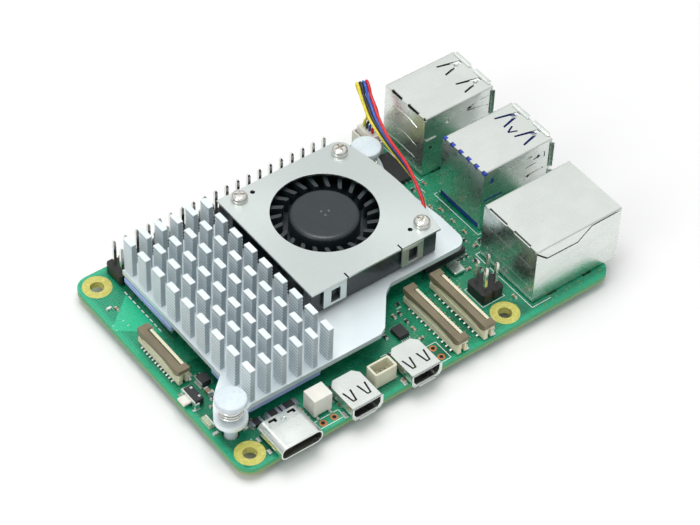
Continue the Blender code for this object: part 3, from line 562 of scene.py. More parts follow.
def build_lights():
    """A room that is pale above and grey below, and three soft lamps."""
    world = bpy.data.worlds.new("studio")
    bpy.context.scene.world = world
    world.use_nodes = True
    tree = world.node_tree
    background = tree.nodes["Background"]
    coordinates = tree.nodes.new("ShaderNodeTexCoord")
    split = tree.nodes.new("ShaderNodeSeparateXYZ")
    ramp = tree.nodes.new("ShaderNodeValToRGB")
    tree.links.new(coordinates.outputs["Generated"], split.inputs[0])
    tree.links.new(split.outputs["Z"], ramp.inputs[0])
    tree.links.new(ramp.outputs[0], background.inputs["Color"])
    stops = ramp.color_ramp.elements
    stops[0].position, stops[0].color = 0.0, (0.35, 0.36, 0.37, 1)
    stops[1].position, stops[1].color = 0.6, (1.0, 1.0, 1.0, 1)
    background.inputs["Strength"].default_value = 0.8
    target = TO_METRES @ Vector(LAMP_TARGET)
    for name, place, size, power in LAMPS:
        lamp = link(bpy.data.objects.new(name, bpy.data.lights.new(name, "AREA")))
        lamp.data.shape = "DISK"
        lamp.data.size = size * MM
        lamp.data.energy = power
        lamp.location = TO_METRES @ Vector(place)
        lamp.rotation_euler = (target - lamp.location).to_track_quat("-Z", "Y").to_euler()
    bpy.context.scene.view_settings.view_transform = "Standard"


# ---------------------------------------------------------------- fan wires
# the middle of the bundle from the plug to the blower, and the step there from wire to wire
BUNDLE = (
    ((66.90, 52.90, 5.70), (0.00, -0.92, 0.00)),
    ((66.90, 52.90, 6.80), (0.00, -0.86, 0.00)),
    ((67.40, 52.55, 8.00), (0.39, -0.57, 0.25)),
    ((67.75, 52.90, 9.40), (0.53, -0.40, 0.02)),
    ((67.55, 53.75, 11.10), (0.54, -0.35, 0.06)),
    ((67.50, 55.10, 13.00), (0.56, -0.31, 0.11)),
    ((67.50, 55.90, 14.00), (0.58, -0.29, 0.13)),
    ((67.47, 56.35, 14.90), (0.58, -0.29, 0.13)),
    ((67.20, 56.00, 15.60), (0.58, -0.29, 0.13)),
    ((66.90, 55.10, 15.70), (0.58, -0.29, 0.13)),
    ((66.60, 54.20, 15.05), (0.58, -0.29, 0.13)),
    ((66.30, 53.40, 14.35), (0.57, -0.25, 0.15)),
    ((65.90, 51.65, 13.30), (0.49, -0.29, 0.29)),
    ((65.25, 49.35, 12.30), (0.37, -0.33, 0.41)),
    ((64.55, 45.05, 11.10), (0.05, -0.36, 0.53)),
    ((64.10, 41.25, 10.60), (-0.04, -0.35, 0.54)),
    ((63.70, 37.40, 10.20), (-0.11, -0.36, 0.52)),
    ((63.15, 34.35, 9.90), (-0.25, -0.35, 0.47)),
    ((62.30, 31.50, 9.60), (-0.33, -0.32, 0.44)),
    ((61.40, 29.10, 9.30), (-0.36, -0.30, 0.43)),
    ((60.45, 27.30, 9.00), (-0.36, -0.30, 0.44)),
    ((59.60, 26.60, 8.80), (-0.36, -0.30, 0.44)),
)
WIRE_RADIUS = 0.3
WIRES = ("wire_yellow", "wire_black", "wire_blue", "wire_red")


def smooth_route(points, per_span=5):
    """Catmull-Rom curve through the points."""
    padded = [points[0] * 2 - points[1], *points, points[-1] * 2 - points[-2]]
    route = []
    for p0, p1, p2, p3 in zip(padded, padded[1:], padded[2:], padded[3:]):
        for i in range(per_span):
            t = i / per_span
            route.append(0.5 * (2 * p1 + (p2 - p0) * t + (2 * p0 - 5 * p1 + 4 * p2 - p3) * t * t
                                + (3 * p1 - p0 - 3 * p2 + p3) * t ** 3))
    route.append(points[-1])
    return route


def relax(route, rounds=4):
    """Open up the tight bends of a route and keep its two ends."""
    for _ in range(rounds):
        middle = [(a + b * 2 + c) / 4 for a, b, c in zip(route, route[1:], route[2:])]
        route = [route[0], *middle, route[-1]]
    return route


def build_wires():
    centres = smooth_route([Vector(at) for at, _ in BUNDLE])
    leans = smooth_route([Vector(lean) for _, lean in BUNDLE])
    before = [centres[0] * 2 - centres[1], *centres[:-1]]
    after = [*centres[1:], centres[-1] * 2 - centres[-2]]
    across = []
    for lean, start, end in zip(leans, before, after):
        along = (end - start).normalized()
        across.append((lean - along * lean.dot(along)).normalized() * lean.length)
    for index, slot in enumerate(WIRES):
        offset = index - (len(WIRES) - 1) / 2
        route = relax([TO_METRES @ (centre + step * offset) for centre, step in zip(centres, across)])
        curve = bpy.data.curves.new(f"{slot}_sleeve", "CURVE")
        curve.dimensions = "3D"
        curve.bevel_depth = WIRE_RADIUS * MM
        curve.bevel_resolution = 5
        curve.use_fill_caps = True
        spline = curve.splines.new("POLY")
        spline.points.add(len(route) - 1)
        for point, at in zip(spline.points, route):
            point.co = (*at, 1)
        spline.use_smooth = True
        curve.materials.append(LOOKS[slot])
        wire = link(bpy.data.objects.new(f"{slot}_sleeve", curve))
        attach(wire, "board")
        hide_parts(f"fan_{slot}")
        length = sum((b - a).length for a, b in zip(route, route[1:]))
        tuple(route[0])


# ---------------------------------------------------------------- board
PRINT_LEVELS = (0.002, 0.012)
PRINTED_FRAMES = (
    [(71.0, 1.6), (66.5, 1.6), (66.5, 18.4), (71.0, 18.4)],
    [(70.9, 22.2), (70.1, 22.2), (70.1, 35.7), (70.9, 35.7)],
    [(70.9, 40.2), (70.1, 40.2), (70.1, 53.6), (70.9, 53.6)],
    [(43.4, 0.7), (46.5, 0.7), (46.5, 5.3), (43.4, 5.3)],
    [*corner_box((59.0, 64.2), (6.95, 12.4)), (59.0, 6.95)],
    [*corner_box((16.9, 22.2), (0.7, 2.6)), (16.9, 0.7)],
)
PRINTED_TICKS = (
    (2.65, 42.66, 0.35, 0), (2.75, 41.23, 0.35, 0), (0.45, 42.7, 0.3, 0), (0.4, 41.4, 0.3, 0),
    (59.8, 36.4, 0, 1.2), (68.4, 21.0, 1.0, 0), (68.4, 19.8, 1.0, 0), (57.0, 15.4, 0, 1.5),
    (45.6, 15.9, 1.1, 0), (36.0, 8.2, 1.2, 0), (23.0, 7.7, 1.4, 0), (14.9, 7.4, 0, 1.0),
    (4.9, 5.2, 0, 0.9), (5.5, 5.2, 0, 0.9), (2.6, 22.7, 1.2, 0), (68.9, 37.0, 0, 1.3),
)
VIA_RING = [(0.09, 0.003), (0.09, 0.012), (0.18, 0.012), (0.18, 0.003)]
VIA_FIELDS = (
    ((0.9, 1.5), (9, 23), 12), ((64.5, 69.5), (33, 40), 22), ((57.5, 66.0), (3, 6), 14),
    ((44, 47), (7, 16), 18), ((51, 53.2), (2, 16), 26), ((57, 66), (12.5, 18.5), 34),
    ((65.8, 69.7), (19, 33), 40), ((5, 7), (24, 34), 22), ((22, 37), (6.2, 9), 30),
    ((8, 17), (6, 8.6), 16), ((71, 84), (19.0, 22), 26), ((71, 84), (36.5, 39.8), 26),
    ((2, 60), (49.2, 50), 40), ((67, 84), (0.6, 2.2), 18), ((5, 10), (49.4, 50.0), 5),
)
TEST_HOLES = ((18.1, 1.6), (20.6, 1.6), (45.1, 4.3), (45.1, 1.8))


def slit(bm, start, end, width, low, high, axis="Z"):
    """A straight bar of the given width between two points of a plane."""
    a, b = Vector(start), Vector(end)
    side = Vector((a.y - b.y, b.x - a.x)).normalized() * width / 2
    prism(bm, [tuple(a - side), tuple(b - side), tuple(b + side), tuple(a + side)], low, high, axis)


def build_silkscreen():
    bm = bmesh.new()
    for points in PRINTED_FRAMES:
        for start, end in zip(points, points[1:]):
            slit(bm, start, end, 0.13, *PRINT_LEVELS)
    for k in range(9):     # dashed edge of the radio module's keep-out
        slit(bm, (7.03, 36.5 + 1.4 * k), (7.03, 37.4 + 1.4 * k), 0.24, *PRINT_LEVELS)
    for x, y, dx, dy in PRINTED_TICKS:
        slit(bm, (x, y), (x + dx, y + dy), 0.13, *PRINT_LEVELS)
    piece("board_print", bm, INK, slot="white_nylon")


def build_vias():
    """Plated via rings and the four bare copper test holes."""
    random.seed(7)
    bm, rings, centres = bmesh.new(), bmesh.new(), bmesh.new()
    for x, y, count in VIA_FIELDS:
        for _ in range(count):
            turned(bm, VIA_RING, (random.uniform(*x), random.uniform(*y)), 8)
    for place in TEST_HOLES:
        turned(rings, [(0.4, 0.004), (0.4, 0.05), (0.72, 0.05), (0.76, 0.004)], place, 24)
        # a near-black disc in each ring: painted shade for the dark inside of the hole
        prism(centres, circle(place, 0.44, 20), 0.003, 0.02)
    piece("via_rings", bm, VIA, slot="brass")
    piece("test_hole_rings", rings, COPPER, slot="brass")
    piece("test_hole_painted_shade", centres, HOLE_SHADE, slot="black_nylon")


class Components:
    """Small surface-mounted parts, gathered by the look of what they are made of."""

    def __init__(self, *keys):
        self.groups = {key: bmesh.new() for key in keys}

    def oblong(self, key, centre, size, low, high, turn=0):
        corners = corner_box(about(0, size[0] / 2), about(0, size[1] / 2))
        prism(self.groups[key], [swing(centre, corner, turn) for corner in corners], low, high)

    def chip(self, key, x, y, length=1.0, width=0.5, height=0.4, turn=0):
        """A two-terminal part, its length along X before it is turned."""
        self.oblong(key, (x, y), (length * 0.62, width * 0.96), 0.03, height * 0.97, turn)
        for reach in (-length * 0.4, length * 0.4):
            end, apron = (swing((x, y), (reach * part, 0), turn) for part in (1, 1.28))
            self.oblong("ends", end, (length * 0.22, width), 0.01, height, turn)
            self.oblong("ends", apron, (length * 0.24, width * 1.1), 0.005, height * 0.22, turn)

    def leads(self, start, step, count, size, high=0.14):
        for k in range(count):
            self.oblong("ends", (start[0] + step[0] * k, start[1] + step[1] * k), size, 0.01, high)

    def build(self, name, bevel):
        for key, bm in self.groups.items():
            look, slot = SMALL_LOOKS[key]
            piece(f"{name}_{key}", bm, look, bevel=bevel, steps=1, slot=slot)


SMALL_LOOKS = {"ends": (SOLDER, "nickel"), "ceramic": (CERAMIC, "brown_nylon"),
               "black": ("chip_epoxy", None), "white": ("white_nylon", None)}
# places of the smallest parts, by their look and their turn in degrees
SMALL_CHIPS = {
    ("black", 90): [(39.6, 11.4), (45.2, 12.3), (45.3, 14.6), (40.9, 7.4), (29.5, 6.1), (22.1, 5.2),
        (16.6, 4.4), (4.9, 13.4), (63.6, 13.9), (64.8, 14.8), (58.2, 16.3), (66.4, 34.6), (67.3, 38.8),
        (69.4, 20.7), (66.0, 12.0)],
    ("ceramic", 90): [(45.1, 10.1), (44.0, 14.6), (23.0, 3.2), (36.0, 1.2), (8.0, 9.3), (16.6, 6.1),
        (5.2, 24.9), (3.4, 45.7), (6.0, 38.1), (58.2, 13.2), (67.2, 33.2), (70.2, 39.0), (57.2, 2.1),
        (50.9, 17.0), (57.4, 16.9), (65.5, 5.6)],
    ("ceramic", 0): [(44.8, 7.4), (38.9, 7.6), (25.6, 7.5), (29.8, 0.9), (4.3, 16.2), (62.9, 16.1),
        (67.9, 20.2), (65.3, 35.8)],
    ("black", 0): [(40.3, 8.0), (37.4, 7.6), (24.0, 7.5), (27.1, 7.5), (5.5, 17.6), (6.3, 23.7),
        (65.3, 17.2), (46.4, 16.7)],
    ("white", 0): [(6.15, 8.45), (1.2, 10.6), (2.3, 46.6), (68.7, 39.3)],
    ("white", 90): [(6.2, 18.9)],
}


def build_components():
    parts = Components("ends", "ceramic", "black", "white")
    # eight-lead driver chip and its neighbours between the video sockets and the flat cables
    prism(parts.groups["black"], rounded((41.2, 43.5), (9.3, 12.1), 0.1, 2), 0.06, 0.95)
    for y in (8.95, 12.45):
        parts.leads((41.55, y), (0.43, 0), 5, (0.2, 0.55))
    for (key, turn), places in SMALL_CHIPS.items():
        for x, y in places:
            parts.chip(key, x, y, 1.05, 0.55, 0.42, turn)
    # chokes and capacitors along the cooler's near edge
    for x, length in ((8.3, 2.3), (11.85, 2.6), (15.3, 3.4)):
        parts.chip("black", x, 8.25, length, 1.5, 0.85)
    parts.chip("ceramic", 5.5, 19.3, 1.7, 0.9, 0.8, 90)
    parts.chip("black", 6.25, 21.7, 2.3, 1.9, 1.1)
    # terminating parts in columns between the flat-cable connectors and beside the shields
    for k in range(9):
        parts.chip("black" if k % 3 else "ceramic", 51.9, 2.6 + 1.45 * k, 0.85, 0.45, 0.32)
    for k in range(6):
        parts.chip("ceramic" if k % 2 else "black", 67.0 + (k % 2) * 1.4, 22.4 + 1.8 * k, turn=90)
    for k in range(5):
        parts.chip("black", 60.4 + 1.1 * k, 18.9, 0.8, 0.42, 0.32, 90)
    # leads of the input and output controller at its two open sides
    parts.leads((65.45, 20.2), (0, 0.42), 27, (0.5, 0.18), 0.22)
    parts.leads((55.8, 19.5), (0.42, 0), 23, (0.18, 0.5), 0.22)
    # solder columns of the tall block behind the second USB socket
    parts.leads((69.45, 41.8), (0, 1.0), 8, (0.55, 0.45), 0.5)
    parts.leads((64.3, 40.9), (1.0, 0), 5, (0.45, 0.5), 0.5)
    # legs and leads of the low sockets and connectors
    for centre in HDMI_CENTRES:
        for x in about(centre, 3.55):
            for y in (0.8, 5.0):
                parts.oblong("ends", (x, y), (0.8, 1.5), 0.005, STAND)
        parts.leads((centre - 2.7, 7.0), (0.3, 0), 19, (0.14, 0.8), 0.12)
    for x in about(USB_C_CENTRE, 4.8):
        for y in (1.6, 4.9):
            parts.oblong("ends", (x, y), (0.7, 1.1), 0.005, 0.34)
    parts.leads((8.0, 6.15), (0.5, 0), 14, (0.25, 0.9))
    parts.leads((17.9, 2.9), (2.8, 0), 2, (0.5, 0.8), 0.3)
    for start in ((18.3, 6.9), (31.7, 5.5)):
        parts.leads(start, (1.0, 0), 3, (0.3, 0.8), 0.2)
    parts.leads((30.3, 2.9), (4.9, 0), 2, (0.8, 1.0), 0.25)
    parts.build("small_parts", 0.035)


def build_underside():
    """Solder joints, small parts and pads under the board."""
    random.seed(5)
    low = -BOARD_THICKNESS
    cone = [(0.34, low - 0.75), (0.42, low - 0.5), (0.62, low - 0.22), (0.92, low - 0.04),
            (0.92, low - 0.003), (0.34, low - 0.003)]
    joints = bmesh.new()
    for _, first, columns, _ in HEADERS:
        for centre in header_places(first, columns):
            turned(joints, cone, centre, 16)
    piece("header_solder", joints, SOLDER, slot="nickel")
    parts = Components("ends", "ceramic", "black")
    body, ends, width = (low - 0.42, low - 0.02), (low - 0.44, low - 0.01), about(0, 0.25)
    for _ in range(110):
        x, y = random.uniform(20, 64), random.uniform(8, 46)
        kind = random.choice(("ceramic", "black"))
        across = random.random() < 0.5
        pieces = ((kind, (-0.3, 0.3), body), ("ends", (-0.5, -0.3), ends), ("ends", (0.3, 0.5), ends))
        for key, span, levels in pieces:
            u, v = (span, width) if across else (width, span)
            block(parts.groups[key], (x + u[0], x + u[1]), (y + v[0], y + v[1]), levels)
    for x, y, size in ((30.5, 30.0, 5.0), (47.0, 20.0, 3.0), (44.0, 38.0, 3.4)):
        outline = rounded((x, x + size), (y, y + size), 0.1, 2)
        prism(parts.groups["black"], outline, low - 0.9, low - 0.05)
    parts.build("under_parts", 0.03)


def build_board():
    build_silkscreen()
    build_vias()
    build_components()
    build_underside()


# ---------------------------------------------------------------- headers
PIN_PITCH = 2.54
# name, first pin, number of columns and the CAD node
HEADERS = (
    ("main_header", (8.37, 51.23), 20, "gpio_header"), ("power_header", (60.38, 8.43), 2, "poe_header"),
)


def header_places(first, columns):
    """Centres of the pins in a header's two rows."""
    return [(first[0] + PIN_PITCH * i, first[1] + PIN_PITCH * j) for i in range(columns) for j in (0, 1)]


def header_pin(bm, centre, low, high, half=0.32, point=0.45):
    """A square pin with both ends tapered."""
    levels = ((low, half * 0.55), (low + point, half), (high - point, half), (high - 0.02, half * 0.5))
    sections = [(corner_box(about(centre[0], r), about(centre[1], r)), z) for z, r in levels]
    capped(bm, [[bm.verts.new((*corner, z)) for corner in corners] for corners, z in sections])


def build_header(name, first, columns, node):
    """A header of two rows of pins, the first at the given place."""
    body, pins = bmesh.new(), bmesh.new()
    half, chamfer, swell = PIN_PITCH / 2, 0.42, 0.004
    (left, right), (low, high) = about(0, half), (-half, PIN_PITCH + half)
    # each pair of pins sits in its own block with cut corners
    outline = [(left + chamfer, low), (right - chamfer, low), (right + swell, low + chamfer),
               (right + swell, high - chamfer), (right - chamfer, high), (left + chamfer, high),
               (left - swell, high - chamfer), (left - swell, low + chamfer)]
    places = header_places(first, columns)
    for x, y in places[::2]:
        prism(body, [(x + u, y + v) for u, v in outline], STAND, PIN_PITCH)
    for centre in places:
        header_pin(pins, centre, -2.88, 8.48)
    piece(f"{name}_moulding", body, "black_nylon", stands_for=node, bevel=0.06)
    piece(f"{name}_pins", pins, "nickel", bevel=0.04)


# ---------------------------------------------------------------- tall sockets
def tall_section(y, z, radius=0.38):
    """Section across X of a folded shell, its two upper edges rounded."""
    level = z[1] - radius
    return [(y[0], z[0]), (y[1], z[0]), *arc((y[1] - radius, level), radius, 0, 90, 5),
            *arc((y[0] + radius, level), radius, 90, 180, 5)]


def shell_legs(name, columns, rows):
    """Solder legs of a shell, tapered down through the board."""
    legs = bmesh.new()
    for x in columns:
        outline = [(x - 0.78, 0), (x - 0.78, 0.6), (x + 0.78, 0.6), (x + 0.78, 0),
                   (x + 0.45, -3.05), (x - 0.45, -3.05)]
        for y in (rows[0] + 0.25, rows[1] - 0.25):
            prism(legs, outline, *about(y, 0.23), "Y")
    piece(name, legs, "tinned_steel", bevel=0.08)


def build_ethernet():
    x, y, top = (67.1, 87.6), (2.5, 17.9), 13.4
    inside = (y[0] + WALL, y[1] - WALL)
    hollow = blocks(((x[0] + WALL, x[1] + 1), inside, (STAND + WALL, top - WALL)))
    slots = blocks(*(((x[0] - 1, x[0] + 0.45), span, (top - 0.42, top + 1))
                     for span in ((11.4, 16.5), (4.6, 9.35))))
    # joint line round the top plate's folded flap, on both sides
    seams = bmesh.new()
    path = [(x[0] - 0.1, top - 0.3), (69.7, 10.55), (77.1, 10.4), (80.3, top - 0.5), (x[1] + 0.1, top - 0.45)]
    for face in y:
        for start, end in zip(path, path[1:]):
            slit(seams, start, end, 0.32, *about(face, 0.5), "Y")
    creases = blocks(*(((x[0] - 0.06, x[0] + 0.05), (y[0] + 1.2, y[1] - 1.2), (level, level + 0.1))
                       for level in (3.4, 8.6)))
    piece("ethernet_cover", solid(tall_section(y, (STAND, top)), *x, "X"), "tinned_steel",
          stands_for="ethernet_shell", cuts=(hollow, slots, seams, creases), bevel=0.09)
    shell_legs("ethernet_legs", (72.0, 80.5), y)
    # springs that touch the plug, and contacts inside
    springs = blocks(*(((x[1] - 3.4, x[1] - 0.05), about(middle, 0.15), about(z, 0.7))
                       for z in (6.0, 9.2) for middle in (y[0] + 0.47, y[1] - 0.47)))
    piece("ethernet_springs", springs, "tinned_steel", bevel=0.08)
    contacts = bmesh.new()
    for k in range(8):
        v = 10.2 + (k - 3.5) * 1.02
        tube(contacts, [(84.2, v, 11.2), (80.5, v, 10.4), (77.0, v, 8.6), (76.2, v, 8.1)], 0.2, 6)
    piece("ethernet_contacts", contacts, GOLD, slot="brass")
    lamps = blocks(*(((86.2, 87.42), (v, v + 1.5), (11.85, 12.75)) for v in (4.05, 14.85)))
    piece("ethernet_lamps", lamps, "led_lens", bevel=0.1)
    refine("ethernet_insert", "black_nylon", 0.12)


USB_CENTRES = {"usb3": 29.1, "usb2": 47.0}
USB_TOP, USB_REAR, USB_FRONT, USB_HALF = 15.2, 70.9, 87.6, 6.2
TONGUES = (-3.0, 3.0)
# slits round the springs in the side walls, as start, end and width, and a hole beside them
SIDE_SLITS = {
    "usb3": (((81.8, 13.2), (82.7, 13.2), 0.26), ((81.2, 10.8), (83.7, 10.9), 0.24),
             ((83.2, 12.1), (84.4, 12.4), 0.3), ((85.8, 12.85), (85.95, 11.45), 0.24),
             ((81.5, 8.5), (85.8, 8.7), 0.36), ((81.9, 8.2), (82.4, 8.5), 0.6)),
    "usb2": (((84.5, 13.2), (86.8, 13.3), 0.14), ((82.2, 12.1), (83.2, 11.8), 0.4),
             ((83.05, 11.85), (86.7, 10.9), 0.16), ((82.2, 12.7), (83.0, 13.0), 0.2),
             ((81.5, 4.9), (86.0, 5.1), 0.3), ((81.9, 4.6), (82.4, 5.0), 0.6)),
}
SIDE_HOLES = {"usb3": ((84.3, 12.35), 0.42), "usb2": ((81.9, 12.4), 0.55)}


def spring_window(bm, middle, front=86.9, rear=82.0, low=14.4, high=16.0, spread=1.62, slot=0.42):
    """Cut-outs round one spring tongue of a USB shell: two slits that meet in a window."""
    for side in (-1, 1):
        outline = [(rear, spread), (rear, spread - slot), (front - 1.3, 0.62 - slot), (front - 1.3, 0.78)]
        prism(bm, [(x, middle + side * v) for x, v in outline], low, high)
    head = [(front - 1.9, middle - 0.84), (front - 1.9, middle + 0.84),
            (front, middle + 0.5), (front, middle - 0.5)]
    prism(bm, head, low - 0.2, high)


def blue_usb_details(centre, low, high, tongues, marks):
    """Cut-outs that only the first USB socket has, and the blue moulding that shows in them."""
    rear, top, side = USB_REAR, USB_TOP, (low - 1, low + 0.4)
    for end in (0.9, -0.7):
        slit(tongues, (81.7, centre), (83.5, centre + end), 0.35, 14.4, 16)
    windows = [centre - 6.0 + 2.36 * k for k in range(6)]     # along the rear top edge
    for y in windows:
        block(marks, (rear - 1, rear + 0.62), about(y, 0.55), (top - 0.75, top + 1))
    block(marks, (rear - 1, rear + 0.5), (low + 0.5, high - 0.5), (0.0, 1.55))
    block(marks, (72.7, 73.5), side, (11.5, 12.8))
    block(marks, (71.5, 76.0), side, (7.35, 7.85))
    filler = blocks(*(((rear + 0.08, rear + 0.75), about(y, 0.42), (top - 0.6, top - 0.08)) for y in windows))
    block(filler, (rear + 0.1, rear + 0.6), (low + 0.55, high - 0.55), (0.35, 1.4))
    block(filler, (72.75, 73.45), (low + 0.1, low + 0.5), (11.6, 12.7))
    block(filler, (71.6, 75.9), (low + 0.1, low + 0.5), (7.4, 7.8))
    block(filler, (80.9, 86.6), (low + 1.2, high - 1.2), (13.4, 14.3))
    return filler


def black_usb_details(low, marks):
    """Cut-outs that only the second USB socket has, and the ridges pressed into its back."""
    rear, top = USB_REAR, USB_TOP
    for span in ((48.05, 51.2), (42.9, 46.2)):
        block(marks, (rear - 1, rear + 0.45), span, (top - 0.72, top + 1))
    block(marks, (rear - 1, rear + 0.42), (low - 1, low + 0.62), (top - 0.6, top + 1))
    prism(marks, corner_box((72.3, 73.0), (6.8, 7.4)), low - 1, low + 0.4, "Y")
    prism(marks, circle((76.5, 11.9), 0.52, 20), low - 0.5, low + 0.22, "Y")
    ridges = bmesh.new()
    for points, thick in ((((50.7, 11.3), (48.8, 11.9), (46.0, 12.05), (43.0, 11.5)), 0.16),
                          (((48.6, 7.2), (46.0, 7.3), (43.0, 6.8)), 0.09),
                          (((51.7, 3.4), (47.5, 3.6), (43.2, 3.5)), 0.13)):
        tube(ridges, smooth_route([Vector((rear + 0.02, *point)) for point in points], 6), thick, 8)
    block(ridges, (71.3, 73.9), (low - 0.22, low - 0.02), (9.35, 9.47))
    block(ridges, (71.2, 71.35), (low - 0.22, low - 0.02), (8.8, 9.8))
    return ridges


def usb_lips(centre, low, high):
    """Turned-out lips round a USB mouth and the bent tips of its springs."""
    lips = bmesh.new()
    start, front, top = USB_FRONT - 0.55, USB_FRONT, USB_TOP
    lip = [(start, top), (front, top + 0.1), (87.88, top + 0.42), (87.74, top + 0.46),
           (front - 0.2, top + 0.24), (start, top + 0.14)]
    tip = [(85.0, 14.9), (85.6, 14.72), (86.2, 14.2), (86.4, 14.2), (86.78, 14.56), (86.7, 14.68),
           (86.3, 14.38), (85.68, 14.88), (85.0, 15.06)]
    for offset in TONGUES:
        prism(lips, lip, *about(centre + offset, 2.3), "Y")
        prism(lips, tip, *about(centre + offset, 0.4), "Y")
    for face, side in ((low, -1), (high, 1)):
        flare = [(start, 0), (front, 0.12), (87.88, 0.5), (87.72, 0.54), (front - 0.2, 0.3), (start, 0.16)]
        for span in ((1.0, 7.4), (8.3, 14.5)):
            prism(lips, [(x, face + side * v) for x, v in flare], *span)
    return lips


def build_usb(name, centre):
    """One tall socket of two ports; the two differ in their cut-outs and colour."""
    blue = name == "usb3"
    low, high = about(centre, USB_HALF)
    rear, front, top = USB_REAR, USB_FRONT, USB_TOP
    inner = [(rear + WALL, STAND + WALL), (front + 1, STAND + WALL), (front + 1, 7.4), (76.5, 7.4),
             (76.5, 8.2), (front + 1, 8.2), (front + 1, top - WALL), (rear + WALL, top - WALL)]
    hollow = solid(inner, low + WALL, high - WALL, "Y")
    tongues, marks = bmesh.new(), bmesh.new()
    for offset in TONGUES:
        spring_window(tongues, centre + offset)
    if blue:
        extra = blue_usb_details(centre, low, high, tongues, marks)
    else:
        extra = black_usb_details(low, marks)
    for face in (low, high):
        span = about(face, 0.5)
        prism(marks, circle(*SIDE_HOLES[name], 14), *span, "Y")
        for start, end, width in SIDE_SLITS[name]:
            slit(marks, start, end, width, *span, "Y")
    piece(f"{name}_cover", solid(tall_section((low, high), (STAND, top)), rear, front, "X"), "tinned_steel",
          stands_for=f"{name}_shell", cuts=(hollow, tongues, marks), bevel=0.08)
    piece(f"{name}_lips", usb_lips(centre, low, high), "tinned_steel", bevel=0.04)
    if not blue:
        piece(f"{name}_ridges", extra, "tinned_steel", bevel=0.04)
    shell_legs(f"{name}_legs", (74.5, 82.0), (low, high))
    refine(f"{name}_insulator", "blue_nylon" if blue else "black_nylon", 0.12)
    contacts = blocks(*(((77.0, 85.9), about(centre + (k - 1.5) * 2.3, 0.5), (floor - 0.05, floor + 0.08))
                        for floor in (4.3, 11.5) for k in range(4)))
    piece(f"{name}_contacts", contacts, GOLD, bevel=0.03, slot="brass")
    if blue:
        piece(f"{name}_windows", extra, "blue_nylon", bevel=0.06)


# ---------------------------------------------------------------- low sockets
USB_C_CENTRE = 11.2
HDMI_CENTRES = (25.8, 39.2)


def build_usb_c():
    def section(inset):
        return rounded(about(USB_C_CENTRE, 4.5 - inset), (STAND + inset, 3.3 - inset), 1.35 - inset, 10)

    notches = bmesh.new()
    for x in (9.43, 13.45):
        outline = [(x - 0.8, 5.35), (x + 0.75, 5.35), (x + 0.75, 4.45), (x + 0.2, 4.45),
                   (x + 0.2, 4.85), (x - 0.8, 4.85)]
        prism(notches, outline, 2.6, 4)
    piece("usb_c_cover", solid(section(0), -1.6, 5.8, "Y"), "tinned_steel", stands_for="usb_c_shell",
          cuts=(solid(section(0.28), -2.6, 5.4, "Y"), notches), bevel=0.05)
    piece("usb_c_dimple", turning([(0.5, 3.29), (0.42, 3.36), (0.3, 3.3)], (11.4, 4.3), 20), "tinned_steel")
    refine("usb_c_insulator", "black_nylon", 0.08)
    places = [USB_C_CENTRE + (k - 5.5) * 0.5 for k in range(12)]
    contacts = blocks(*((about(x, 0.13), (-0.5, 2.6), (level - 0.02, level + 0.05))
                        for x in places for level in (1.43, 2.12)))
    piece("usb_c_contacts", contacts, GOLD, slot="brass")


def build_hdmi(index, centre):
    """A video socket: its shell with a flared mouth, its core and its contacts."""
    def section(inset, grow=0.0):
        half, bottom, top = 3.2 - inset + grow, STAND + inset - grow * 0.6, 3.2 - inset + grow * 0.6
        return [(centre - half, top), (centre - half, bottom + 0.9), (centre - half + 0.6, bottom),
                (centre + half - 0.6, bottom), (centre + half, bottom + 0.9), (centre + half, top)]

    # cut rear corners, and two sprung tongues in the top
    cuts = bmesh.new()
    for side in (-1, 1):
        prism(cuts, [(centre + side * u, y) for u, y in ((3.4, 5.1), (1.9, 6.75), (3.6, 6.9))], -1, 4)
        x = centre + side * 1.6
        for lean in (-1, 1):
            outline = [(x + lean * u, y) for u, y in ((1.0, 3.0), (0.62, 3.0), (0.16, 0.5), (0.5, 0.5))]
            prism(cuts, outline, 2.6, 4)
        prism(cuts, [(x - 0.5, 0.62), (x + 0.5, 0.62), (x + 0.45, 0.28), (x - 0.45, 0.28)], 2.6, 4)
    piece(f"hdmi{index}_cover", solid(section(0), -1.25, 6.5, "Y"), "tinned_steel",
          stands_for=f"hdmi{index}_shell", cuts=(solid(section(0.28), -2.4, 6.1, "Y"), cuts), bevel=0.06)
    # mouth turned outwards all round, with a wider lip below
    mouth = bmesh.new()
    turns = ((-0.95, 0.0), (-1.25, 0.06), (-1.42, 0.22), (-1.42, 0.08), (-1.2, -0.1), (-0.95, -0.28))
    skin(mouth, [[mouth.verts.new((u, y, w)) for u, w in section(0, grow)] for y, grow in turns], closed=True)
    lip = [(-1.3, 0.32), (-1.3, 0.2), (-1.6, -0.02), (-1.68, 0.06), (-1.45, 0.3)]
    prism(mouth, lip, *about(centre, 1.9), "X")
    piece(f"hdmi{index}_mouth", mouth, "tinned_steel", bevel=0.03)
    core = blocks((about(centre, 2.75), (1.2, 6.0), (0.75, 2.75)),
                  (about(centre, 2.2), (-0.6, 1.3), (1.55, 2.05)))
    piece(f"hdmi{index}_core", core, "black_nylon", stands_for=f"hdmi{index}_insulator", bevel=0.06)
    contacts = blocks(*((about(centre + (k - 4) * 0.4, 0.1), (-0.4, 1.2), (2.04, 2.1)) for k in range(9)))
    piece(f"hdmi{index}_contacts", contacts, GOLD, slot="brass")


# ---------------------------------------------------------------- flat cable connectors
# name, left side, near and far ends, and number of contacts
FLAT_CONNECTORS = (
    ("mipi0", 47.5, 0.1, 16.7, 22), ("mipi1", 53.7, 0.1, 16.7, 22), ("pcie", 1.9, 23.3, 36.7, 23),
)


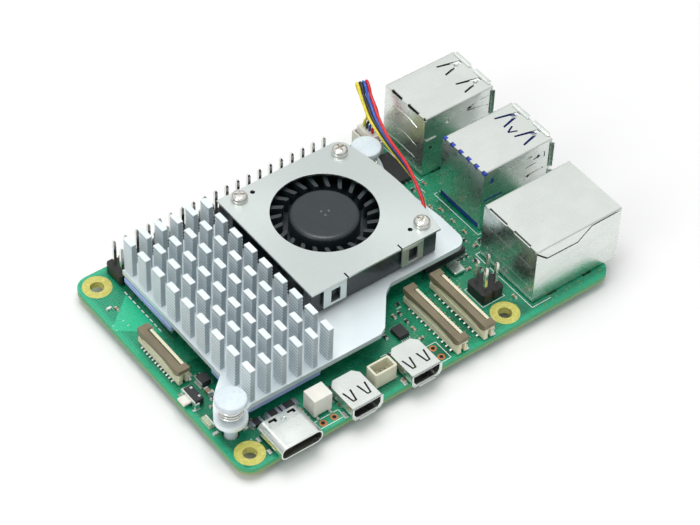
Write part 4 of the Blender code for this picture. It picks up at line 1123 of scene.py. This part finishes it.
def build_flat_connector(name, left, near, far, pins):
    """Housing with its comb and leads, and the latch that slides up from it."""
    right, split, middle = left + 2.5, left + 1.4, left + 1.25
    inner = (near + 1.5, far - 1.5)
    back = blocks(((left + 0.3, left + 0.75), (inner[0] - 0.4, inner[1] + 0.4), (1.0, 2.95)))
    posts = blocks(*(((left + 0.3, right - 0.05), y, (1.0, 2.95))
                     for y in ((near + 0.15, near + 1.35), (far - 1.35, far - 0.15))))
    comb = blocks(((split + 0.34, right - 0.16), (inner[0] - 0.3, inner[1] + 0.3), (1.0, 3.72)))
    slots = bmesh.new()
    for y in ((near - 0.5, near + 0.9), (far - 0.9, far + 0.5)):
        block(slots, (middle - 0.3, middle + 0.45), y, (-1, 2.6))
        block(slots, (right - 0.45, right + 0.5), y, (1.55, 2.3))
    base = blocks(((left + 0.12, right - 0.05), (near + 0.15, far - 0.15), (STAND, 1.65)))
    piece(f"{name}_base", base, "cream_nylon", stands_for=f"{name}_housing", unions=(back, posts, comb),
          cuts=(slots,), bevel=0.07)
    pitch = (inner[1] - inner[0] - 0.6) / (pins - 1)
    teeth, leads = bmesh.new(), bmesh.new()
    lead = [(left - 0.5, 0.01), (left + 0.3, 0.01), (left + 0.3, 0.5), (left - 0.1, 0.46), (left - 0.4, 0.36)]
    for k in range(pins):
        y = inner[0] + 0.3 + pitch * k
        block(teeth, (right - 0.3, right - 0.02), about(y, pitch * 0.24), (2.9, 3.6))
        if k % 2 == 0:
            prism(leads, lead, *about(y, 0.2), "Y")
    for y in (near + 0.7, far - 0.7):
        block(leads, (right - 0.2, right + 0.55), about(y, 0.5), (0.01, 0.2))
    piece(f"{name}_comb", teeth, "cream_nylon", bevel=0.04)
    piece(f"{name}_leads", leads, SOLDER, bevel=0.06, slot="nickel")

    # latch: a bar whose lower edge curves up in the middle, with an end cap each side
    steps = 18
    arch = [(inner[0] + (inner[1] - inner[0]) * i / steps, 2.25 + 0.75 * math.sin(math.pi * i / steps) ** 0.6)
            for i in range(steps)] + [(inner[1], 2.25)]
    outline = [(near, 4.0), (near, 3.05), (near + 0.7, 2.5), *arch, (far - 0.7, 2.5), (far, 3.05), (far, 4.0)]
    caps = blocks(*(((split - 0.3, right), y, (3.05, 4.0)) for y in ((near, near + 1.5), (far - 1.5, far))))
    hollow = blocks(((left + 0.22, split + 3), (near + 0.3, far - 0.3), (2.0, 3.04)))
    piece(f"{name}_bar", solid(outline, left, split, "X"), "brown_nylon", f"{name}_clamp", f"{name}_latch",
          unions=(caps,), cuts=(hollow,), bevel=0.09)


def build_small_connectors():
    feet = blocks(((18.2, 20.4), (2.0, 7.0), (0.0, 0.55)))
    piece("battery_connector_body", blocks(((17.3, 21.3), (3.2, 6.6), (STAND, 4.6))), "white_nylon",
          stands_for="rtc_battery_connector", cuts=(feet,), bevel=0.2, steps=3)

    pocket = solid(rounded((30.75, 34.75), (2.7, 4.8), 0.25), 1.0, 5)
    piece("serial_connector_body", solid(rounded((30.25, 35.25), (2.25, 5.25), 0.45), STAND, 3.9), SOCKET,
          stands_for="uart_connector", cuts=(pocket,), bevel=0.1, steps=3, slot="white_nylon")
    pins = bmesh.new()
    for k in range(3):
        header_pin(pins, (31.75 + k, 3.75), 0.9, 2.8, 0.2, 0.2)
    piece("serial_connector_pins", pins, "nickel", bevel=0.03)

    pocket = blocks(((65.6, 68.2), (50.2, 55.6), (0.9, 5)))
    piece("fan_connector_body", blocks(((65.25, 68.55), (49.85, 55.95), (STAND, 4.0))), "white_nylon",
          stands_for="fan_connector", cuts=(pocket,), bevel=0.1, steps=3)
    holes = blocks(*(((67.45, 68.2), about(52.9 + (k - 1.5) * 0.92, 0.25), (2.2, 4.4)) for k in range(4)))
    piece("fan_plug_body", blocks(((65.9, 67.9), (50.5, 55.3), (1.2, 5.4))), "white_nylon",
          stands_for="fan_plug", cuts=(holes,), bevel=0.12, steps=3)


def build_button():
    """Power button with its bracket, and the status lamp beside it."""
    pocket = blocks(((0.5, 2.5), (18.0, 20.8), (0.6, 1.6)))
    piece("button_case", blocks(((1.55, 3.35), (17.45, 21.35), (STAND, 1.95))), "chip_epoxy",
          stands_for="power_button_body", cuts=(pocket,), bevel=0.08, slot="tinned_steel")
    plate = blocks(((1.2, 1.5), (17.3, 18.05), (STAND, 1.9)), ((1.2, 1.5), (20.75, 21.5), (STAND, 1.9)),
                   ((1.2, 1.5), (18.0, 20.8), (1.55, 1.9)))
    for x, y in ((2.55, 20.4), (2.65, 18.0)):
        block(plate, (x, x + 0.5), (y, y + 0.5), (1.9, 2.04))
    for y in (17.0, 21.45):
        block(plate, (1.3, 2.2), (y, y + 0.38), (0.02, 1.5))
        block(plate, (0.75, 2.3), (y - 0.1, y + 0.5), (0.01, 0.2))
    piece("button_bracket", plate, "tinned_steel", bevel=0.05)
    piece("button_plunger", solid(rounded((18.3, 20.5), (0.8, 1.5), 0.34), -0.38, 1.9, "X"), "white_nylon",
          "power_button", "power_button_plunger", bevel=0.16, steps=3)
    along = (12.05, 14.65)
    piece("status_lamp_block", solid(rounded((0.75, 1.6), along, 0.12, 3), STAND, 0.95), "led_lens",
          stands_for="status_led", bevel=0.08)
    base = blocks(((1.62, 1.9), along, (0.02, 0.95)), ((0.75, 1.9), along, (0.02, 0.28)))
    piece("status_lamp_base", base, "white_nylon", bevel=0.04)


# ---------------------------------------------------------------- cooler
EARS = ((3.35, 9.1), (61.0, 46.0))
FAN_CENTRE = (42.8, 34.9)
FAN_SCREWS = ((31.9, 46.9), (54.7, 46.2), (55.7, 22.1))
SINK_LEVELS = (3.9, 5.0)
FAN_NEAR, FAN_FAR = 19.1, 49.0
COVER_TOP, COVER_THICKNESS = 11.5, 0.4
BLADES = 23


def build_heatsink():
    """Plate, necks and ears of the cooler, with ribbed fins standing in it."""
    outline = [(7.3, 9.1), (36.6, 9.1), (38.2, 10.0), (43.7, 16.8), (45.8, 18.2),
               *arc((61.5, 20.7), 2.5, -90, 0, 8), (64.0, 26.5), (63.5, 31.5), (62.4, 41.5),
               (60.0, 46.0), (56.5, 49.45), (7.3, 49.45)]
    necks = (
        [(7.6, 18.2), (5.0, 16.0), (3.4, 14.5), (2.0, 12.7), (0.5, 10.3), (3.35, 9.1), (6.4, 8.6), (8.0, 9.2),
         (9.0, 12.0)],
        [(55.0, 49.45), (60.9, 49.1), (61.0, 46.0), (63.9, 44.9), (62.3, 40.5), (57.0, 42.0)],
    )
    unions = [solid(shape, *SINK_LEVELS)
              for neck, ear in zip(necks, EARS) for shape in (neck, circle(ear, 3.1, 64))]
    bores = [solid(circle(ear, 1.6, 40), 3, 6) for ear in EARS]
    piece("heatsink_plate", solid(outline, *SINK_LEVELS), "anodised_aluminium", stands_for="heatsink",
          unions=unions, cuts=bores, bevel=0.12)

    # each fin is a core with ribs along its two wide faces; the top rib is the thicker one; the cores, seen
    # only in the grooves between the ribs, carry a darker painted shade
    cores, ribs = bmesh.new(), bmesh.new()
    foot, top, half, depth, pitch, thick = 4.95, 12.98, 0.6, 0.13, 0.8, 0.42
    levels = [(top - 0.5, top)]
    for k in range(1, 10):
        high = top - (pitch * k + 0.12)
        levels.append((high - thick, high))
    for x, y in ((8.4 + 3.42 * i, 10.9 + 4.67 * j) for i in range(6) for j in range(9)):
        block(cores, about(x, half - depth), about(y, 1.37), (foot, top - 0.1))
        for level in levels:
            block(ribs, about(x, half), about(y, 1.34), level)
    piece("heatsink_fin_cores", cores, GROOVE_SHADE, bevel=0.04, steps=1, slot="anodised_aluminium")
    piece("heatsink_fin_ribs", ribs, "anodised_aluminium", bevel=0.05)


def fan_plan(inset, near_inset):
    """Outline of the blower from above, its right side bowed outwards."""
    near, far, left, corner, steps = FAN_NEAR + near_inset, FAN_FAR - inset, 28.2 + inset, 2.6, 24
    points = [(left, near)]
    for i in range(steps + 1):
        t = i / steps
        points.append((57.8 - 0.4 * t + 6 * t * (1 - t) - inset, near + (far - corner - near) * t))
    return [*points, *arc((57.4 - inset - corner, far - corner), corner, 0, 90, 12)[1:], (left, far)]


def build_fan_frame():
    openings = bmesh.new()
    chamber = arc(FAN_CENTRE, 12.9, -90, 115, 60) + [(34.6, 44.2), (27.2, 44.2), (27.2, 22.0)]
    for centre in FAN_SCREWS:
        prism(openings, circle(centre, 1.1, 24), 6.5, 12)
    block(openings, (58.0, 61.0), (25.4, 27.8), (6.9, 12))
    for x in (33.7, 51.6):
        block(openings, about(x, 1.25), (19.0, 20.05), (7.4, 9.9))
    piece("blower_frame", solid(fan_plan(0.3, 0.7), 5.3, 10.8), "fan_plastic", stands_for="fan_frame",
          cuts=(solid(chamber, 6.2, 12), openings), bevel=0.14, steps=3)


def build_fan_cover():
    top, thick, near, bend = COVER_TOP, COVER_THICKNESS, FAN_NEAR, 0.75
    holes = bmesh.new()
    for centre in FAN_SCREWS:
        prism(holes, circle(centre, 1.1, 24), 10, 12)
    for centre in ((34.95, 46.95), (53.05, 22.2)):
        prism(holes, circle(centre, 0.48, 20), 10, 12)
    for x in (36.45, 48.75):     # narrow relief slits beside the bent tabs
        block(holes, about(x, 0.16), (near - 1, near + 1.3), (10, 12))
    inlet = solid(circle(FAN_CENTRE, 10.25, 128), 10, 12)
    piece("blower_cover", solid(fan_plan(0, 0), top - thick, top), "brushed_plate", stands_for="fan_cover",
          cuts=(inlet, holes), bevel=0.06)
    centre = (near + bend, top - bend)
    outer = [(near + 1.4, top - 0.02), *arc(centre, bend, 90, 180, 6), (near, 6.35)]
    inner = [(near + 1.4, top - thick), *arc(centre, bend - thick, 90, 180, 6), (near + thick, 6.35)]
    for index, (low, high, middle) in enumerate(((31.0, 36.2, 33.75), (48.95, 53.9, 51.55)), 1):
        window = blocks((about(middle, 1.02), about(near, 0.6), (7.0, 10.15)))
        piece(f"blower_tab_{index}", solid(outer + inner[::-1], low, high, "X"), "brushed_plate",
              cuts=(window,), bevel=0.07)


def blade_plan(angle, inner=8.0, outer=12.15, sweep=-6.0, steps=10):
    """Outline of one swept blade with a rounded inner tip."""
    front, back = [], []
    for i in range(steps + 1):
        t = (i / steps) ** 1.5
        radius = inner + (outer - inner) * t
        lean = angle + sweep * (1 - t) ** 2
        half = math.degrees(math.asin((0.27 + 0.17 * min(1.0, (t * 14) ** 0.5)) / radius))
        front.append(swing(FAN_CENTRE, (radius, 0), lean - half))
        back.append(swing(FAN_CENTRE, (radius, 0), lean + half))
    return front + back[::-1]


def build_rotor():
    hub = [(0, 11.16), (5.6, 11.18), (5.95, 11.16), (6.3, 11.05), (6.55, 10.85), (6.7, 10.55), (6.75, 10.2),
           (6.75, 7.3), (12.15, 7.3), (12.15, 6.9), (5.7, 6.9), (5.7, 10.2), (0, 10.2)]
    piece("blower_hub", turning(hub, FAN_CENTRE, 96), "fan_plastic", "rotor", "fan_rotor", bevel=0.04)
    blades, dots = bmesh.new(), bmesh.new()
    for i in range(BLADES):
        prism(blades, blade_plan(360.0 * i / BLADES + 7.0), 7.2, 10.4)
    piece("blower_blades", blades, "fan_plastic", "rotor", bevel=0.07)
    # three small moulded bumps on the hub, their lighter colour a painted highlight
    for place in ((42.6, 35.7), (42.7, 34.5), (43.9, 35.05)):
        turned(dots, [(0, 11.22), (0.2, 11.24), (0.28, 11.17), (0.28, 11.05), (0, 11.05)], place, 16)
    piece("blower_hub_dots", dots, GATE_HIGHLIGHT, "rotor", bevel=0.02, slot="fan_plastic")
    shaft = [(0, 10.15), (0.42, 10.15), (0.5, 10.05), (0.5, 6.25), (0, 6.25)]
    piece("blower_shaft", turning(shaft, FAN_CENTRE, 24), "nickel", "rotor", "fan_shaft")
    bearing = [(0.55, 6.25), (1.5, 6.25), (1.5, 9.15), (1.35, 9.3), (0.55, 9.3)]
    piece("blower_bearing", turning(bearing, FAN_CENTRE, 32), "brass", stands_for="fan_bearing")
    refine("fan_stator", "brass", 0.08)


def build_fan_screws():
    low, head, long, short = 11.55, 12.85, 1.0, 0.24
    profile = [(0, head + 0.02), (0.6, head), (1.05, head - 0.08), (1.4, head - 0.28), (1.6, head - 0.6),
               (1.64, head - 0.85), (1.6, low), (0.8, low), (0.8, 6.6), (0, 6.6)]
    arm = [(long, short), (short, short), (short, long), (-short, long), (-short, short), (-long, short)]
    cross = arm + [(-u, -v) for u, v in arm]
    for index, centre in enumerate(FAN_SCREWS, 1):
        recess = solid([swing(centre, at, 25 + 31 * index) for at in cross], head - 0.75, head + 1)
        piece(f"pan_screw_{index}", turning(profile, centre, 40), "nickel", stands_for=f"fan_screw_{index}",
              cuts=(recess,), bevel=0.04)


def build_push_pins():
    pin = [(0, 9.85), (2.55, 9.85), (2.76, 9.8), (2.9, 9.68), (2.95, 9.5), (2.95, 8.75), (2.9, 8.58),
           (2.76, 8.5), (1.25, 8.5), (1.25, -1.8), (1.85, -1.8), (1.85, -2.05), (1.1, -2.9), (0, -2.9)]
    low, high, turns, per_turn = 5.5, 8.0, 3.5, 28
    count = int(turns * per_turn)
    for index, (ear, body) in enumerate(zip(EARS, ("corner_pin_near", "corner_pin_far")), 1):
        piece(f"retaining_pin_{index}", turning(pin, ear, 72), "translucent_nylon", body, f"push_pin_{index}",
              bevel=0.04)
        coil = bmesh.new()
        path = [(*swing(ear, (2.08, 0), 360 * i / per_turn), low + (high - low) * i / count)
                for i in range(count + 1)]
        tube(coil, path, 0.2)
        spring = piece(f"coil_spring_{index}", coil, "nickel", "board", f"push_pin_spring_{index}")
        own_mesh(spring)


# ---------------------------------------------------------------- chips, pads and the card socket
def build_chips():
    for node, look, edge in (
            ("ram_chip", "chip_epoxy", 0.06), ("io_controller_chip", "chip_epoxy", 0.08),
            ("power_management_chip", "chip_epoxy", 0.06), ("ethernet_phy_chip", "chip_epoxy", 0.1),
            ("soc_lid", "nickel", 0.12), ("soc_thermal_pad", "thermal_pad", 0.2),
            ("wireless_thermal_pad", "thermal_pad", 0.2), ("power_thermal_pad", "thermal_pad", 0.2),
            ("wireless_shield_can", "tinned_steel", 0.12), ("microsd_shell", "tinned_steel", 0.07),
            ("microsd_base", "black_nylon", 0.05)):
        refine(node, look, edge)
    piece("crystal_can", solid(rounded((59.5, 62.0), (15.9, 19.1), 0.35, 4), STAND, 0.95), "tinned_steel",
          stands_for="crystal", bevel=0.12)
    piece("inductor_block", blocks(((5.32, 7.18), (20.62, 22.78), (STAND, 1.55))), "chip_epoxy",
          stands_for="power_inductor", bevel=0.1)


def dress_cad():
    """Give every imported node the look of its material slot; most are covered by finer pieces."""
    for row in frame["record"]["subparts"]:
        data = frame["nodes"][row["node"]].data
        data.materials.clear()
        data.materials.append(LOOKS[row["material_slot"]])


build_camera()
build_floor()
build_lights()
dress_cad()
build_board()
for header in HEADERS:
    build_header(*header)
build_ethernet()
for name, centre in USB_CENTRES.items():
    build_usb(name, centre)
build_usb_c()
for index, centre in enumerate(HDMI_CENTRES):
    build_hdmi(index, centre)
for connector in FLAT_CONNECTORS:
    build_flat_connector(*connector)
build_small_connectors()
build_button()
build_chips()
build_heatsink()
build_fan_frame()
build_fan_cover()
build_rotor()
build_fan_screws()
build_push_pins()
build_wires()
